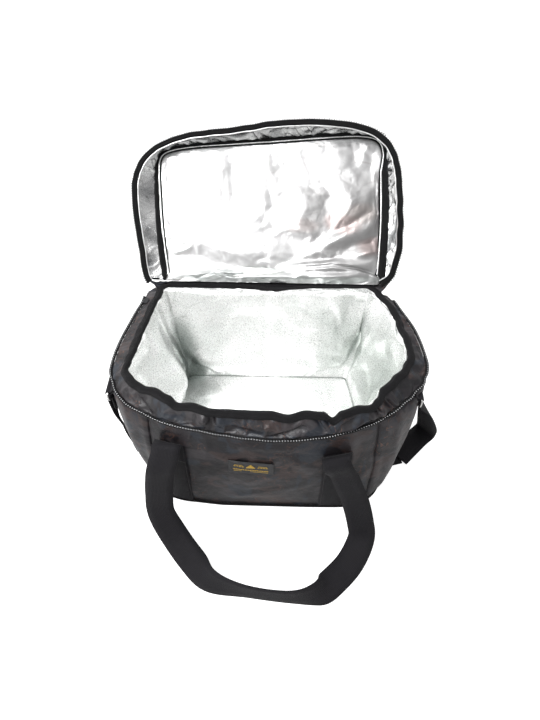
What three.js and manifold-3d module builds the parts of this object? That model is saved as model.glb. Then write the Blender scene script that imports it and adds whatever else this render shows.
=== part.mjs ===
// An insulated cooler bag, standing open: X runs across it, Y from front to back, Z up from the floor.
// Everything is in millimetres. The lid is built shut and then turned back on its hinge.
import * as THREE from "three";
import { mergeVertices } from "three/addons/utils/BufferGeometryUtils.js";
import Module from "manifold-3d";

const wasm = await Module();
wasm.setup();

// Body outlines
const backY = 118;
const baseHalfWidth = 172;
const baseBackHalfWidth = 170;
const baseFrontY = -147;
const baseWideY = -20;
const basePower = 5;
const baseCornerRadius = 30;
const seamHalfWidth = 214;
const seamBackHalfWidth = 178;
const seamFrontY = -133.8;
const seamWideY = -35;
const mouthPower = 2.5;
const seamCornerRadius = 22;
const rimHalfWidth = 195.3;
const rimBackHalfWidth = 173;
const rimFrontY = -114;
const rimWideY = 0;
const rimCornerRadius = 16;
const sideBulge = 4;

// Body heights
const seamFrontZ = 195;
const seamBackZ = 219;
const rimZ = 221;
const rimBackZ = 225.5;

// Layers of the wall, from the outside in
const fabricThickness = 1.2;
const foamThickness = 8;
const linerThickness = 0.8;
const layerGap = 0.5;
const clearance = 0.3;

// Trim of the body
const pipingRadius = 1.8;
const bindingThickness = 1;
const bindingRise = 3;
const tapeWidth = 5.6;
const tapeThickness = 0.8;
const teethSize = 3;
const hingeStripThickness = 1.4;
const hingeStripHeight = 24;
const hingeBeadRadius = 2;
const hingeFlapHeight = 8;

// Lid, in its shut place
const hingeY = 122;
const hingeZ = 230;
const lidOpenDegrees = 140;
const lidHalfWidth = 186;
const lidBackHalfWidth = 177;
const lidBackGap = 4;
const lidFrontY = -105;
const lidWideY = -10;
const lidPower = 5;
const lidCornerRadius = 12;
const lidSeamInset = 5.3;
const lidSeamFrontInset = 3.1;
const lidSeamRise = 7;
const lidSeamRearRise = 2.8;
const lidSeamRearStartY = 50;
const lidLift = 2;
const lidFoamThickness = 6;
const lidFabricThickness = 1;
const lidLiningThickness = 0.7;
const gussetBulge = 5;
const lidBindingWidth = 9;
const lidBindingThickness = 1.5;

// Webbing
const webbingWidth = 38;
const webbingThickness = 1.6;
const foldRadius = 3.6;
const floorGap = 0.05;
const handleFoldZ = 153;
const handleHalfSpan = 120;
const frontHandleMiddleX = -12;
const frontHandleReach = 156;
const backHandleReach = 133.5;

// Label
const labelWidth = 66;
const labelHeight = 34;
const labelThickness = 1.2;
const labelX = -17;
const labelZ = 119;

// Shoulder strap, its rings and its adjuster
const strapSpread = 53;
const strapReach = 318;
const strapStandoff = 31;
const strapOverlapGap = 0.5;
const ringY = -50;
const ringStandoff = 12;
const ringX = seamHalfWidth + ringStandoff;
const ringTopZ = 189;
const ringDrop = 14;
const ringWireRadius = 1.6;
const ringInnerWidth = 41;
const tabThickness = 1.4;
const adjusterHeight = 20;
const adjusterBar = 3.6;
const adjusterThickness = 1.5;
const adjusterSlack = 0.5;
const adjusterAcross = [0.5, -0.85, 0.16];
const adjusterShare = 0.35;

// Zip sliders and their pulls
const sliderLength = 11;
const sliderTravel = 20;
const sliderTopSkin = 1.3;
const sliderBottomSkin = 1.8;
const sliderSlack = 0.7;
const bridgeWidth = 2.4;
const bridgeBar = 1.2;
const bridgeOpening = 3.2;
const pullWidth = 7;
const pullLength = 25;
const pullThickness = 1.4;
const pullEye = 1.6;
const pullHoleWidth = 3.8;
const pullHoleLength = 4.6;

// Stations along half an outline: back, back corner, side, then front quarter
const backEnd = 0.2;
const cornerEnd = 0.3;
const sideEnd = 0.5;
const frontSeam = 0.75;
const zipEnd = 0.315;
const sliderPlace = 0.326;
const backSteps = 2;
const cornerSteps = 3;
const sideSteps = 6;
const frontSteps = 10;

const degrees = Math.PI / 180;
const mix = (a, b, share) => a + (b - a) * share;

const baseOutline = {
  backHalf: baseBackHalfWidth,
  half: baseHalfWidth,
  wideY: baseWideY,
  backY,
  frontY: baseFrontY,
  power: basePower,
  radius: baseCornerRadius,
};
const seamOutline = {
  backHalf: seamBackHalfWidth,
  half: seamHalfWidth,
  wideY: seamWideY,
  backY,
  frontY: seamFrontY,
  power: mouthPower,
  radius: seamCornerRadius,
};
const rimOutline = {
  backHalf: rimBackHalfWidth,
  half: rimHalfWidth,
  wideY: rimWideY,
  backY,
  frontY: rimFrontY,
  power: mouthPower,
  radius: rimCornerRadius,
};
const lidOutline = {
  backHalf: lidBackHalfWidth,
  half: lidHalfWidth,
  wideY: lidWideY,
  backY: hingeY - lidBackGap,
  frontY: lidFrontY,
  power: lidPower,
  radius: lidCornerRadius,
};
const lidSeamOutline = {
  backHalf: seamBackHalfWidth,
  half: seamHalfWidth - lidSeamInset,
  wideY: seamWideY,
  backY: hingeY - lidBackGap - clearance,
  frontY: seamFrontY + lidSeamFrontInset,
  power: mouthPower,
  radius: lidCornerRadius,
};

function mixOutlines(first, second, share) {
  const mixed = {};
  for (const key of Object.keys(first)) {
    mixed[key] = mix(first[key], second[key], share);
  }
  return mixed;
}

// The outline drawn in by an inset on every side; a negative inset lets it out
function insetOutline(outline, inset) {
  return {
    ...outline,
    backHalf: outline.backHalf - inset,
    half: outline.half - inset,
    backY: outline.backY - inset,
    frontY: outline.frontY + inset,
    radius: Math.max(outline.radius - inset, 1),
  };
}

// A point of the right half of an outline, from the middle of the back at 0 to the middle of the front at 1
function halfOutlinePoint(outline, share) {
  const { backHalf, half, wideY, backY: y0, frontY, power, radius } = outline;
  const cornerX = backHalf - radius;
  const cornerY = y0 - radius;
  const flare = Math.atan(((half - backHalf) * Math.PI) / 2 / (cornerY - wideY));
  if (share <= backEnd) {
    return [(cornerX * share) / backEnd, y0];
  }
  if (share <= cornerEnd) {
    const turn = ((share - backEnd) / (cornerEnd - backEnd)) * (Math.PI / 2 - flare);
    return [cornerX + radius * Math.sin(turn), cornerY + radius * Math.cos(turn)];
  }
  if (share <= sideEnd) {
    const along = (share - cornerEnd) / (sideEnd - cornerEnd);
    const startX = cornerX + radius * Math.cos(flare);
    const startY = cornerY + radius * Math.sin(flare);
    return [mix(startX, half, Math.sin((along * Math.PI) / 2)), mix(startY, wideY, along)];
  }
  const turn = ((share - sideEnd) / (1 - sideEnd)) * (Math.PI / 2);
  const across = Math.cos(turn);
  const forward = Math.sin(turn);
  const reach = (Math.abs(across) ** power + forward ** power) ** (-1 / power);
  return [half * across * reach, wideY + (frontY - wideY) * forward * reach];
}

// Below 0 and past 1 the walk goes on along the mirrored left half
function outlinePoint(outline, place) {
  if (place < 0) {
    const [x, y] = halfOutlinePoint(outline, -place);
    return [-x, y];
  }
  if (place > 1) {
    const [x, y] = halfOutlinePoint(outline, 2 - place);
    return [-x, y];
  }
  return halfOutlinePoint(outline, place);
}

const halfPlaces = [];
for (let i = 0; i <= backSteps; i += 1) {
  halfPlaces.push((backEnd * i) / backSteps);
}
for (let i = 1; i <= cornerSteps; i += 1) {
  halfPlaces.push(mix(backEnd, cornerEnd, i / cornerSteps));
}
for (let i = 1; i <= sideSteps; i += 1) {
  halfPlaces.push(mix(cornerEnd, sideEnd, i / sideSteps));
}
for (let i = 1; i <= frontSteps; i += 1) {
  halfPlaces.push(mix(sideEnd, 1, i / frontSteps));
}
const loopPlaces = [...halfPlaces, ...halfPlaces.slice(1, -1).reverse().map((place) => 2 - place)];

function placesBetween(from, to) {
  const all = [...halfPlaces.map((place) => -place).reverse(), ...loopPlaces, 2];
  const nearest = 0.004;
  const inside = all.filter((place) => place > from + nearest && place < to - nearest);
  return [from, ...new Set(inside), to];
}

// The place reached by going a distance along the seam outline
function stepAlong(place, distance) {
  const small = 0.001;
  const a = outlinePoint(seamOutline, place - small);
  const b = outlinePoint(seamOutline, place + small);
  return place + (distance * 2 * small) / Math.hypot(b[0] - a[0], b[1] - a[1]);
}

const seamHeight = (y) => mix(seamFrontZ, seamBackZ, (y - seamFrontY) / (backY - seamFrontY));
const rimHeight = (y) => mix(rimZ, rimBackZ, Math.max(y / backY, 0) ** 2);
const rearShare = (y) => Math.max((y - lidSeamRearStartY) / (backY - lidSeamRearStartY), 0);
const lidSeamHeight = (y) => seamHeight(y) + lidSeamRise + lidSeamRearRise * rearShare(y) ** 2;

// The wall's outline at a level: 0 at the base, 1 at the zip seam, 2 at the rim
function wallOutline(level, inset) {
  if (level > 1) {
    return insetOutline(mixOutlines(seamOutline, rimOutline, level - 1), inset);
  }
  const bulge = sideBulge * Math.sin(level * Math.PI);
  const shape = insetOutline(mixOutlines(baseOutline, seamOutline, level), inset);
  shape.half += bulge;
  shape.frontY -= bulge;
  return shape;
}

function wallPoint(place, level, inset, bottom = 0) {
  const [x, y] = outlinePoint(wallOutline(level, inset), place);
  const [, outerY] = outlinePoint(wallOutline(level, 0), place);
  const seam = seamHeight(outerY);
  const z = level > 1 ? mix(seam, rimHeight(outerY), level - 1) : mix(bottom, seam, level);
  return new THREE.Vector3(x, y, z);
}

// A closed solid between two grids of points; rows run along it, and it may close on itself
function solidBetween(outer, inner, wraps = false) {
  const rows = outer.length;
  const columns = outer[0].length;
  const last = columns - 1;
  const faces = [];
  const at = (side, row, column) => (side * rows + (row % rows)) * columns + column;
  const points = [...outer.flat(), ...inner.flat()];
  const quad = (a, b, c, d) => {
    if (points[a].distanceTo(points[c]) <= points[b].distanceTo(points[d])) {
      faces.push(a, b, c, a, c, d);
    } else {
      faces.push(a, b, d, b, c, d);
    }
  };
  for (let row = 0; row < (wraps ? rows : rows - 1); row += 1) {
    const next = row + 1;
    for (let c = 0; c < last; c += 1) {
      quad(at(0, row, c), at(0, next, c), at(0, next, c + 1), at(0, row, c + 1));
      quad(at(1, row, c), at(1, row, c + 1), at(1, next, c + 1), at(1, next, c));
    }
    quad(at(0, row, 0), at(1, row, 0), at(1, next, 0), at(0, next, 0));
    quad(at(0, row, last), at(0, next, last), at(1, next, last), at(1, row, last));
  }
  for (let c = 0; c < last && !wraps; c += 1) {
    quad(at(0, 0, c), at(0, 0, c + 1), at(1, 0, c + 1), at(1, 0, c));
    quad(at(0, rows - 1, c), at(1, rows - 1, c), at(1, rows - 1, c + 1), at(0, rows - 1, c + 1));
  }
  return facingOut(points, faces);
}

function facingOut(points, faces) {
  let volume = 0;
  for (let i = 0; i < faces.length; i += 3) {
    const [a, b, c] = [points[faces[i]], points[faces[i + 1]], points[faces[i + 2]]];
    volume += a.dot(new THREE.Vector3().crossVectors(b, c));
  }
  const geometry = new THREE.BufferGeometry();
  geometry.setFromPoints(points);
  geometry.setIndex(volume < 0 ? faces.reverse() : faces);
  geometry.computeVertexNormals();
  return geometry;
}

function toManifold(geometry) {
  const bare = geometry.clone();
  bare.deleteAttribute("normal");
  bare.deleteAttribute("uv");
  const merged = mergeVertices(bare);
  const vertProperties = new Float32Array(merged.attributes.position.array);
  const triVerts = new Uint32Array(merged.index.array);
  return new wasm.Manifold(new wasm.Mesh({ numProp: 3, vertProperties, triVerts }));
}

function fromManifold(solid) {
  const { vertProperties, triVerts } = solid.getMesh();
  const geometry = new THREE.BufferGeometry();
  geometry.setAttribute("position", new THREE.BufferAttribute(new Float32Array(vertProperties), 3));
  geometry.setIndex(new THREE.BufferAttribute(new Uint32Array(triVerts), 1));
  geometry.computeVertexNormals();
  return geometry;
}

function boxOf(width, height, depth, x, y, z) {
  const geometry = new THREE.BoxGeometry(width, height, depth);
  geometry.translate(x, y, z);
  return geometry;
}

const unite = (a, b) => fromManifold(toManifold(a).add(toManifold(b)));

const bag = new THREE.Group();
const lid = new THREE.Group();
lid.position.set(0, hingeY, hingeZ);
lid.rotation.x = -lidOpenDegrees * degrees;
bag.add(lid);

const materials = {
  fabric: new THREE.MeshStandardMaterial({ color: 0x35333a, roughness: 0.7 }),
  foam: new THREE.MeshStandardMaterial({ color: 0xe9e9e4, roughness: 0.9 }),
  silver: new THREE.MeshStandardMaterial({ color: 0xc9cdc9, roughness: 0.35, metalness: 0.6 }),
  trim: new THREE.MeshStandardMaterial({ color: 0x1b1a1d, roughness: 0.85 }),
  webbing: new THREE.MeshStandardMaterial({ color: 0x232126, roughness: 0.8 }),
  zip: new THREE.MeshStandardMaterial({ color: 0x111113, roughness: 0.5 }),
  metal: new THREE.MeshStandardMaterial({ color: 0xb8b8b4, roughness: 0.3, metalness: 0.9 }),
  plastic: new THREE.MeshStandardMaterial({ color: 0x1e1e20, roughness: 0.45 }),
  label: new THREE.MeshStandardMaterial({ color: 0x141416, roughness: 0.6 }),
};

function addPiece(name, geometry, material, parent = bag) {
  const mesh = new THREE.Mesh(geometry, materials[material].clone());
  mesh.name = name;
  parent.add(mesh);
  return mesh;
}

// Walls: one layer of the wall between two places and two levels
function levelsBetween(from, to, steps) {
  return Array.from({ length: steps + 1 }, (_, i) => mix(from, to, i / steps));
}

const bodyLevels = levelsBetween(0, 1, 5);
const collarLevels = levelsBetween(1, 2, 2);

function wallLayer(places, levels, outerInset, innerInset, bottom) {
  const grid = (inset) => places.map((place) => (
    levels.map((level) => wallPoint(place, level, inset, bottom))
  ));
  const wraps = places === loopPlaces;
  return solidBetween(grid(outerInset), grid(innerInset), wraps);
}

const halfGap = clearance / 2;
const fabricInner = fabricThickness;
const foamOuter = fabricInner + layerGap;
const foamInner = foamOuter + foamThickness;
const linerOuter = foamInner + layerGap;
const linerInner = linerOuter + linerThickness;
const baseTop = fabricThickness;
const foamBaseTop = baseTop + clearance + foamThickness;
const seamCut = clearance / (seamFrontZ * 1.2);
const rimCut = 0.02;

const backPlaces = placesBetween(stepAlong(-cornerEnd, halfGap), stepAlong(cornerEnd, -halfGap));
const rightPlaces = placesBetween(stepAlong(cornerEnd, halfGap), stepAlong(frontSeam, -halfGap));
const frontPlaces = placesBetween(stepAlong(frontSeam, halfGap), stepAlong(2 - frontSeam, -halfGap));
const leftPlaces = placesBetween(stepAlong(2 - frontSeam, halfGap), stepAlong(2 - cornerEnd, -halfGap));
const collarPlaces = placesBetween(stepAlong(cornerEnd, halfGap), stepAlong(2 - cornerEnd, -halfGap));
const zipPlaces = placesBetween(zipEnd, 2 - zipEnd);

const underRim = (level) => Math.min(level, 2 - rimCut);
const outerLevels = bodyLevels.map((level) => (level === 1 ? 1 - seamCut : level));
const backLevels = [...bodyLevels, ...collarLevels.slice(1)].map(underRim);
const skirtLevels = collarLevels.map((level) => (level === 1 ? 1 + seamCut * 4 : underRim(level)));

function addWalls() {
  const panels = {
    left_side_panel: leftPlaces,
    right_side_panel: rightPlaces,
    front_panel: frontPlaces,
  };
  for (const [name, places] of Object.entries(panels)) {
    addPiece(name, wallLayer(places, outerLevels, 0, fabricInner, 0), "fabric");
  }
  addPiece("back_panel", wallLayer(backPlaces, backLevels, 0, fabricInner, 0), "fabric");
  addPiece("collar", wallLayer(collarPlaces, skirtLevels, 0, fabricInner, 0), "fabric");
  const pads = {
    foam_left: leftPlaces,
    foam_right: rightPlaces,
    foam_front: frontPlaces,
    foam_back: backPlaces,
  };
  for (const [name, places] of Object.entries(pads)) {
    addPiece(name, wallLayer(places, backLevels, foamOuter, foamInner, baseTop + clearance), "foam");
  }
  const liner = wallLayer(loopPlaces, backLevels, linerOuter, linerInner, foamBaseTop + clearance);
  addPiece("liner_walls", liner, "silver");
}

// A flat plate with an outline seen from above
function plate(outline, bottom, top) {
  const corners = loopPlaces.map((place) => new THREE.Vector2(...outlinePoint(outline, place)));
  const shape = new THREE.Shape(corners);
  const geometry = new THREE.ExtrudeGeometry(shape, { depth: top - bottom, bevelEnabled: false });
  geometry.translate(0, 0, bottom);
  return geometry;
}

function addBase() {
  addPiece("base_panel", plate(insetOutline(baseOutline, fabricInner + clearance), 0, baseTop), "fabric");
  const foamOutline = insetOutline(baseOutline, foamInner + clearance);
  addPiece("foam_base", plate(foamOutline, baseTop + clearance, foamBaseTop), "foam");
  const floorOutline = insetOutline(baseOutline, linerInner + clearance);
  const floorBottom = foamBaseTop + clearance;
  addPiece("liner_floor", plate(floorOutline, floorBottom, floorBottom + linerThickness), "silver");
  const pipingLevel = (2 * pipingRadius) / seamFrontZ;
  const section = (angles) => loopPlaces.map((place) => angles.map((angle) => {
    const inset = -clearance - pipingRadius - pipingRadius * Math.cos(angle * degrees);
    const [x, y] = outlinePoint(wallOutline(pipingLevel, inset), place);
    return new THREE.Vector3(x, y, pipingRadius * (1 + Math.sin(angle * degrees)));
  }));
  addPiece("base_piping", solidBetween(section([150, 90, 30]), section([210, 270, 330]), true), "trim");
}

// The tape folded over the rim of the wall
function addRimBinding() {
  const legLevel = collarLevels[1];
  const outside = -layerGap;
  const inside = linerInner + layerGap;
  const skin = bindingThickness;
  const outer = [
    [legLevel, outside - skin, 0],
    [2, outside - skin, 1],
    [2, outside + skin, bindingRise],
    [2, inside - skin, bindingRise],
    [2, inside + skin, 1],
    [legLevel, inside + skin, 0],
  ];
  const inner = [
    [legLevel, outside, 0],
    [2, outside, clearance],
    [2, outside + skin, clearance],
    [2, inside - skin, clearance],
    [2, inside, clearance],
    [legLevel, inside, 0],
  ];
  const grid = (profile) => loopPlaces.map((place) => profile.map(([level, inset, rise]) => {
    const point = wallPoint(place, level, inset);
    point.z += rise;
    return point;
  }));
  addPiece("rim_binding", solidBetween(grid(outer), grid(inner), true), "trim");
}

// A flat strip that stands out from a seam: its tape, and the chain of teeth on the tape's edge
function zipStrip(outline, height, from, to, thickness) {
  const grid = (rise) => zipPlaces.map((place) => [from, to].map((outset) => {
    const [x, y] = outlinePoint(insetOutline(outline, -outset), place);
    const [, seamY] = outlinePoint(outline, place);
    return new THREE.Vector3(x, y, height(seamY) + rise);
  }));
  return solidBetween(grid(thickness / 2), grid(-thickness / 2));
}

const tapeStart = layerGap;
const tapeEnd = tapeStart + tapeWidth;
const teethStart = tapeEnd + clearance;
const teethMiddle = teethStart + teethSize / 2;

function addBodyZip() {
  addPiece("body_zip_tape", zipStrip(seamOutline, seamHeight, tapeStart, tapeEnd, tapeThickness), "zip");
  const teeth = zipStrip(seamOutline, seamHeight, teethStart, teethStart + teethSize, teethSize);
  addPiece("body_zip_teeth", teeth, "zip");
}

// The hinge tape is sewn to the back wall and ends in a bead; a flap on the lid turns round the bead
const hingeWidth = 2 * (seamBackHalfWidth - seamCornerRadius);

function addHinge() {
  const z = hingeZ - clearance - hingeStripHeight / 2;
  const y = backY + layerGap + bindingThickness + clearance + hingeStripThickness / 2;
  const strip = boxOf(hingeWidth, hingeStripThickness, hingeStripHeight, 0, y, z);
  const bead = new THREE.CylinderGeometry(hingeBeadRadius, hingeBeadRadius, hingeWidth, 12);
  bead.rotateZ(Math.PI / 2);
  bead.translate(0, hingeY, hingeZ);
  addPiece("hinge_strip", unite(strip, bead), "trim");
  const thickness = lidBackGap - 2 * clearance - hingeBeadRadius;
  const middleY = clearance + thickness / 2 - lidBackGap;
  const flap = boxOf(hingeWidth, thickness, hingeFlapHeight, 0, middleY, hingeFlapHeight / 2);
  addPiece("lid_hinge_flap", flap, "trim", lid);
}

// Lid: built shut about its hinge line
const lidBottom = lidLift;
const lidFoamBottom = lidBottom + lidLiningThickness + clearance;
const lidFabricBottom = lidFoamBottom + lidFoamThickness + clearance;
const lidTop = lidFabricBottom + lidFabricThickness;
const gussetLevels = levelsBetween(0, 1, 3);

function gussetPoint(place, level, inset) {
  const bulge = gussetBulge * Math.sin(level * Math.PI);
  const shape = insetOutline(mixOutlines(lidOutline, lidSeamOutline, level), inset - bulge);
  shape.backY = lidOutline.backY - inset;
  const [x, y] = outlinePoint(shape, place);
  const [, seamY] = outlinePoint(lidSeamOutline, place);
  const z = mix(hingeZ + lidFabricBottom - clearance, lidSeamHeight(seamY) + tapeThickness, level);
  return new THREE.Vector3(x, y - hingeY, z - hingeZ);
}

function gussetLayer(outerInset, innerInset) {
  const grid = (inset) => loopPlaces.map((place) => (
    gussetLevels.map((level) => gussetPoint(place, level, inset))
  ));
  return solidBetween(grid(outerInset), grid(innerInset), true);
}

function lidPlate(inset, bottom, top) {
  const geometry = plate(insetOutline(lidOutline, inset), bottom, top);
  geometry.translate(0, -hingeY, 0);
  return geometry;
}

function addLid() {
  const gussetInner = lidFabricThickness + clearance;
  const plateInset = gussetInner + lidLiningThickness + clearance;
  addPiece("lid_panel", lidPlate(0, lidFabricBottom, lidTop), "fabric", lid);
  addPiece("lid_foam", lidPlate(plateInset, lidFoamBottom, lidFabricBottom - clearance), "foam", lid);
  addPiece("lid_lining", lidPlate(plateInset, lidBottom, lidBottom + lidLiningThickness), "silver", lid);
  addPiece("lid_gusset", gussetLayer(0, lidFabricThickness), "fabric", lid);
  const gussetLining = gussetLayer(gussetInner, gussetInner + lidLiningThickness);
  addPiece("lid_gusset_lining", gussetLining, "silver", lid);
  const edge = plateInset + clearance;
  const bindingTop = lidBottom - clearance;
  const ring = (z) => loopPlaces.map((place) => [edge, edge + lidBindingWidth].map((inset) => {
    const [x, y] = outlinePoint(insetOutline(lidOutline, inset), place);
    return new THREE.Vector3(x, y - hingeY, z);
  }));
  const binding = solidBetween(ring(bindingTop), ring(bindingTop - lidBindingThickness), true);
  addPiece("lid_binding", binding, "trim", lid);
  const strips = {
    lid_zip_tape: [tapeStart, tapeEnd, tapeThickness],
    lid_zip_teeth: [teethStart, teethStart + teethSize, teethSize],
  };
  for (const [name, [from, to, thickness]] of Object.entries(strips)) {
    const geometry = zipStrip(lidSeamOutline, lidSeamHeight, from, to, thickness);
    geometry.translate(0, -hingeY, -hingeZ);
    addPiece(name, geometry, "zip", lid);
  }
}

// Webbing along a curve: each stop has the band's middle and the direction across the band
function webbing(stops, steps, width = webbingWidth) {
  const centre = new THREE.CatmullRomCurve3(stops.map((stop) => new THREE.Vector3(...stop.at)));
  const sides = new THREE.CatmullRomCurve3(stops.map((stop) => new THREE.Vector3(...stop.across)));
  const outer = [];
  const inner = [];
  for (let i = 0; i <= steps; i += 1) {
    const share = i / steps;
    const middle = centre.getPoint(share);
    const along = centre.getTangent(share);
    const side = sides.getPoint(share);
    side.addScaledVector(along, -side.dot(along)).normalize();
    const face = new THREE.Vector3().crossVectors(along, side).multiplyScalar(webbingThickness / 2);
    middle.z = Math.max(middle.z, (Math.abs(side.z) * width) / 2 + Math.abs(face.z) + floorGap);
    const row = (sign) => [-0.5, 0.5].map((edge) => (
      middle.clone().addScaledVector(side, edge * width).addScaledVector(face, sign)
    ));
    outer.push(row(1));
    inner.push(row(-1));
  }
  return solidBetween(outer, inner);
}

// A rolled fold of webbing, lying along X
function foldRoll(x, y, z) {
  const roll = new THREE.CylinderGeometry(foldRadius, foldRadius, webbingWidth, 12);
  roll.rotateZ(Math.PI / 2);
  roll.translate(x, y, z);
  return roll;
}

// The front wall's y at a given x and height, let out by an outset
function frontWallY(x, z, outset) {
  let level = z / seamFrontZ;
  let y = seamFrontY;
  for (let i = 0; i < 6; i += 1) {
    const { half, wideY, frontY, power } = wallOutline(level, -outset);
    y = wideY + (frontY - wideY) * (1 - (Math.abs(x) / half) ** power) ** (1 / power);
    level = z / seamHeight(y);
  }
  return y;
}

// A band or plate that lies on the front wall
function onFrontWall(fromX, toX, fromZ, toZ, rows, columns, thickness) {
  const grid = (outset) => levelsBetween(fromZ, toZ, rows).map((z) => (
    levelsBetween(fromX, toX, columns).map((x) => new THREE.Vector3(x, frontWallY(x, z, outset), z))
  ));
  return solidBetween(grid(clearance + thickness), grid(clearance));
}

const anchorTop = handleFoldZ - foldRadius - clearance;
const anchorBottom = 2 * pipingRadius + clearance;
const frontFoldX = [frontHandleMiddleX - handleHalfSpan, frontHandleMiddleX + handleHalfSpan];
const backFoldX = [-handleHalfSpan, handleHalfSpan];
const foldStandoff = clearance + webbingThickness + foldRadius - 1;
const nearestFoldX = frontHandleMiddleX + handleHalfSpan - webbingWidth / 2;
const frontFoldY = frontWallY(nearestFoldX, handleFoldZ, foldStandoff);
const backFoldY = backY + foldStandoff;

function addAnchors() {
  const half = webbingWidth / 2;
  frontFoldX.forEach((x, i) => {
    const band = onFrontWall(x - half, x + half, anchorBottom, anchorTop, 10, 3, webbingThickness);
    addPiece(`front_anchor_${i === 0 ? "left" : "right"}`, band, "webbing");
  });
  backFoldX.forEach((x, i) => {
    const band = new THREE.BoxGeometry(webbingWidth, webbingThickness, anchorTop - anchorBottom);
    band.translate(x, backY + clearance + webbingThickness / 2, (anchorTop + anchorBottom) / 2);
    addPiece(`back_anchor_${i === 0 ? "left" : "right"}`, band, "webbing");
  });
}

// Each handle falls from its two folds to the floor and stands on its edge where it crosses over
function addHandles() {
  const inward = [1, 0, 0];
  const outward = [-1, 0, 0];
  const frontStop = (side, out, height, across) => ({
    at: [
      frontHandleMiddleX + side * handleHalfSpan,
      frontFoldY - out * frontHandleReach,
      height * handleFoldZ,
    ],
    across,
  });
  const backStop = (side, out, height, across) => ({
    at: [side * handleHalfSpan, backFoldY + out * backHandleReach, height * handleFoldZ],
    across,
  });
  const onEdge = (webbingWidth / 2 + clearance) / handleFoldZ;
  const frontStops = [
    frontStop(-1, 0.013, 1.013, inward),
    frontStop(-1.083, 0.128, 0.797, inward),
    frontStop(-1.125, 0.2, 0.575, [1, 0.05, 0]),
    frontStop(-1.125, 0.315, 0.314, [0.95, 0.2, 0.1]),
    frontStop(-0.967, 0.488, 0.111, [0.8, 0.55, 0.1]),
    frontStop(-0.75, 0.687, 0.072, [0.75, 0.6, 0.25]),
    frontStop(-0.5, 0.873, 0.105, [0.4, 0.45, 0.8]),
    frontStop(-0.067, 0.962, onEdge, [0, 0.15, 0.98]),
    frontStop(0.467, 1, onEdge, [-0.05, 0.15, 0.98]),
    frontStop(0.783, 0.956, 0.111, [-0.35, 0.45, 0.8]),
    frontStop(0.975, 0.84, 0.046, [-0.65, 0.7, 0.15]),
    frontStop(1.217, 0.648, 0.026, [-0.8, 0.5, 0.05]),
    frontStop(1.375, 0.424, 0.059, [-0.97, 0.1, 0.05]),
    frontStop(1.35, 0.315, 0.209, outward),
    frontStop(1.217, 0.2, 0.51, outward),
    frontStop(1.05, 0.103, 0.797, outward),
    frontStop(1, 0.013, 1.007, outward),
  ];
  const backStops = [
    backStop(-1, 0.015, 1.007, inward),
    backStop(-1.033, 0.124, 0.732, inward),
    backStop(-1.108, 0.228, 0.405, inward),
    backStop(-1.158, 0.341, 0.131, inward),
    backStop(-1.117, 0.521, 0.033, [0.95, -0.2, 0]),
    backStop(-0.867, 0.79, 0.046, [0.7, -0.65, 0.2]),
    backStop(-0.533, 0.948, 0.111, [0.3, -0.4, 0.8]),
    backStop(0, 1, onEdge, [0, -0.1, 0.99]),
    backStop(0.533, 0.948, 0.111, [-0.3, -0.4, 0.8]),
    backStop(0.867, 0.79, 0.046, [-0.7, -0.65, 0.2]),
    backStop(1.117, 0.521, 0.033, [-0.95, -0.2, 0]),
    backStop(1.158, 0.341, 0.131, outward),
    backStop(1.108, 0.228, 0.405, outward),
    backStop(1.033, 0.124, 0.732, outward),
    backStop(1, 0.015, 1.007, outward),
  ];
  let front = webbing(frontStops, 64);
  let back = webbing(backStops, 56);
  for (const x of frontFoldX) {
    front = unite(front, foldRoll(x, frontFoldY, handleFoldZ));
  }
  for (const x of backFoldX) {
    back = unite(back, foldRoll(x, backFoldY, handleFoldZ));
  }
  addPiece("front_handle", front, "webbing");
  addPiece("back_handle", back, "webbing");
}

function addLabel() {
  const half = labelWidth / 2;
  const low = labelZ - labelHeight / 2;
  const high = low + labelHeight;
  const plateOnWall = onFrontWall(labelX - half, labelX + half, low, high, 1, 3, labelThickness);
  addPiece("front_label", plateOnWall, "label");
}

// A closed wire bent round a rectangle in the plane across the bag's side; the section is six-sided
function wireRing(x, y, topZ, drop, innerWidth) {
  const corner = 2.5 * ringWireRadius;
  const halfY = innerWidth / 2 + ringWireRadius;
  const corners = [
    [halfY, topZ, 0],
    [-halfY, topZ, 90],
    [-halfY, topZ - drop, 180],
    [halfY, topZ - drop, 270],
  ];
  const stops = [];
  for (const [cornerY, cornerZ, start] of corners) {
    const centreY = cornerY - Math.sign(cornerY) * corner;
    const centreZ = cornerZ + (cornerZ === topZ ? -corner : corner);
    for (let i = 0; i <= 3; i += 1) {
      const turn = (start + 30 * i) * degrees;
      stops.push([centreY + corner * Math.cos(turn), centreZ + corner * Math.sin(turn), turn]);
    }
  }
  const section = (angles) => stops.map(([alongY, alongZ, turn]) => angles.map((angle) => {
    const out = ringWireRadius * Math.cos(angle * degrees);
    const side = ringWireRadius * Math.sin(angle * degrees);
    return new THREE.Vector3(x + side, y + alongY + out * Math.cos(turn), alongZ + out * Math.sin(turn));
  }));
  return solidBetween(section([30, 90, 150]), section([-30, -90, -150]), true);
}

// A band whose side view is a chain of points in X and Z, and which is as wide as the webbing along Y
function loopBand(profile, y, width, thickness) {
  const curve = new THREE.CatmullRomCurve3(profile.map(([x, z]) => new THREE.Vector3(x, 0, z)));
  const steps = 3 * (profile.length - 1);
  const edge = (sign, alongY) => Array.from({ length: steps + 1 }, (_, i) => {
    const point = curve.getPoint(i / steps);
    const tangent = curve.getTangent(i / steps);
    const shift = (sign * thickness) / 2;
    return new THREE.Vector3(point.x - tangent.z * shift, alongY, point.z + tangent.x * shift);
  });
  const grid = (sign) => [y - width / 2, y + width / 2].map((alongY) => edge(sign, alongY));
  return solidBetween(grid(1), grid(-1));
}

const ringBottomZ = ringTopZ - ringDrop;
const wrapRadius = ringWireRadius + 2 * clearance + webbingThickness / 2;

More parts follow.
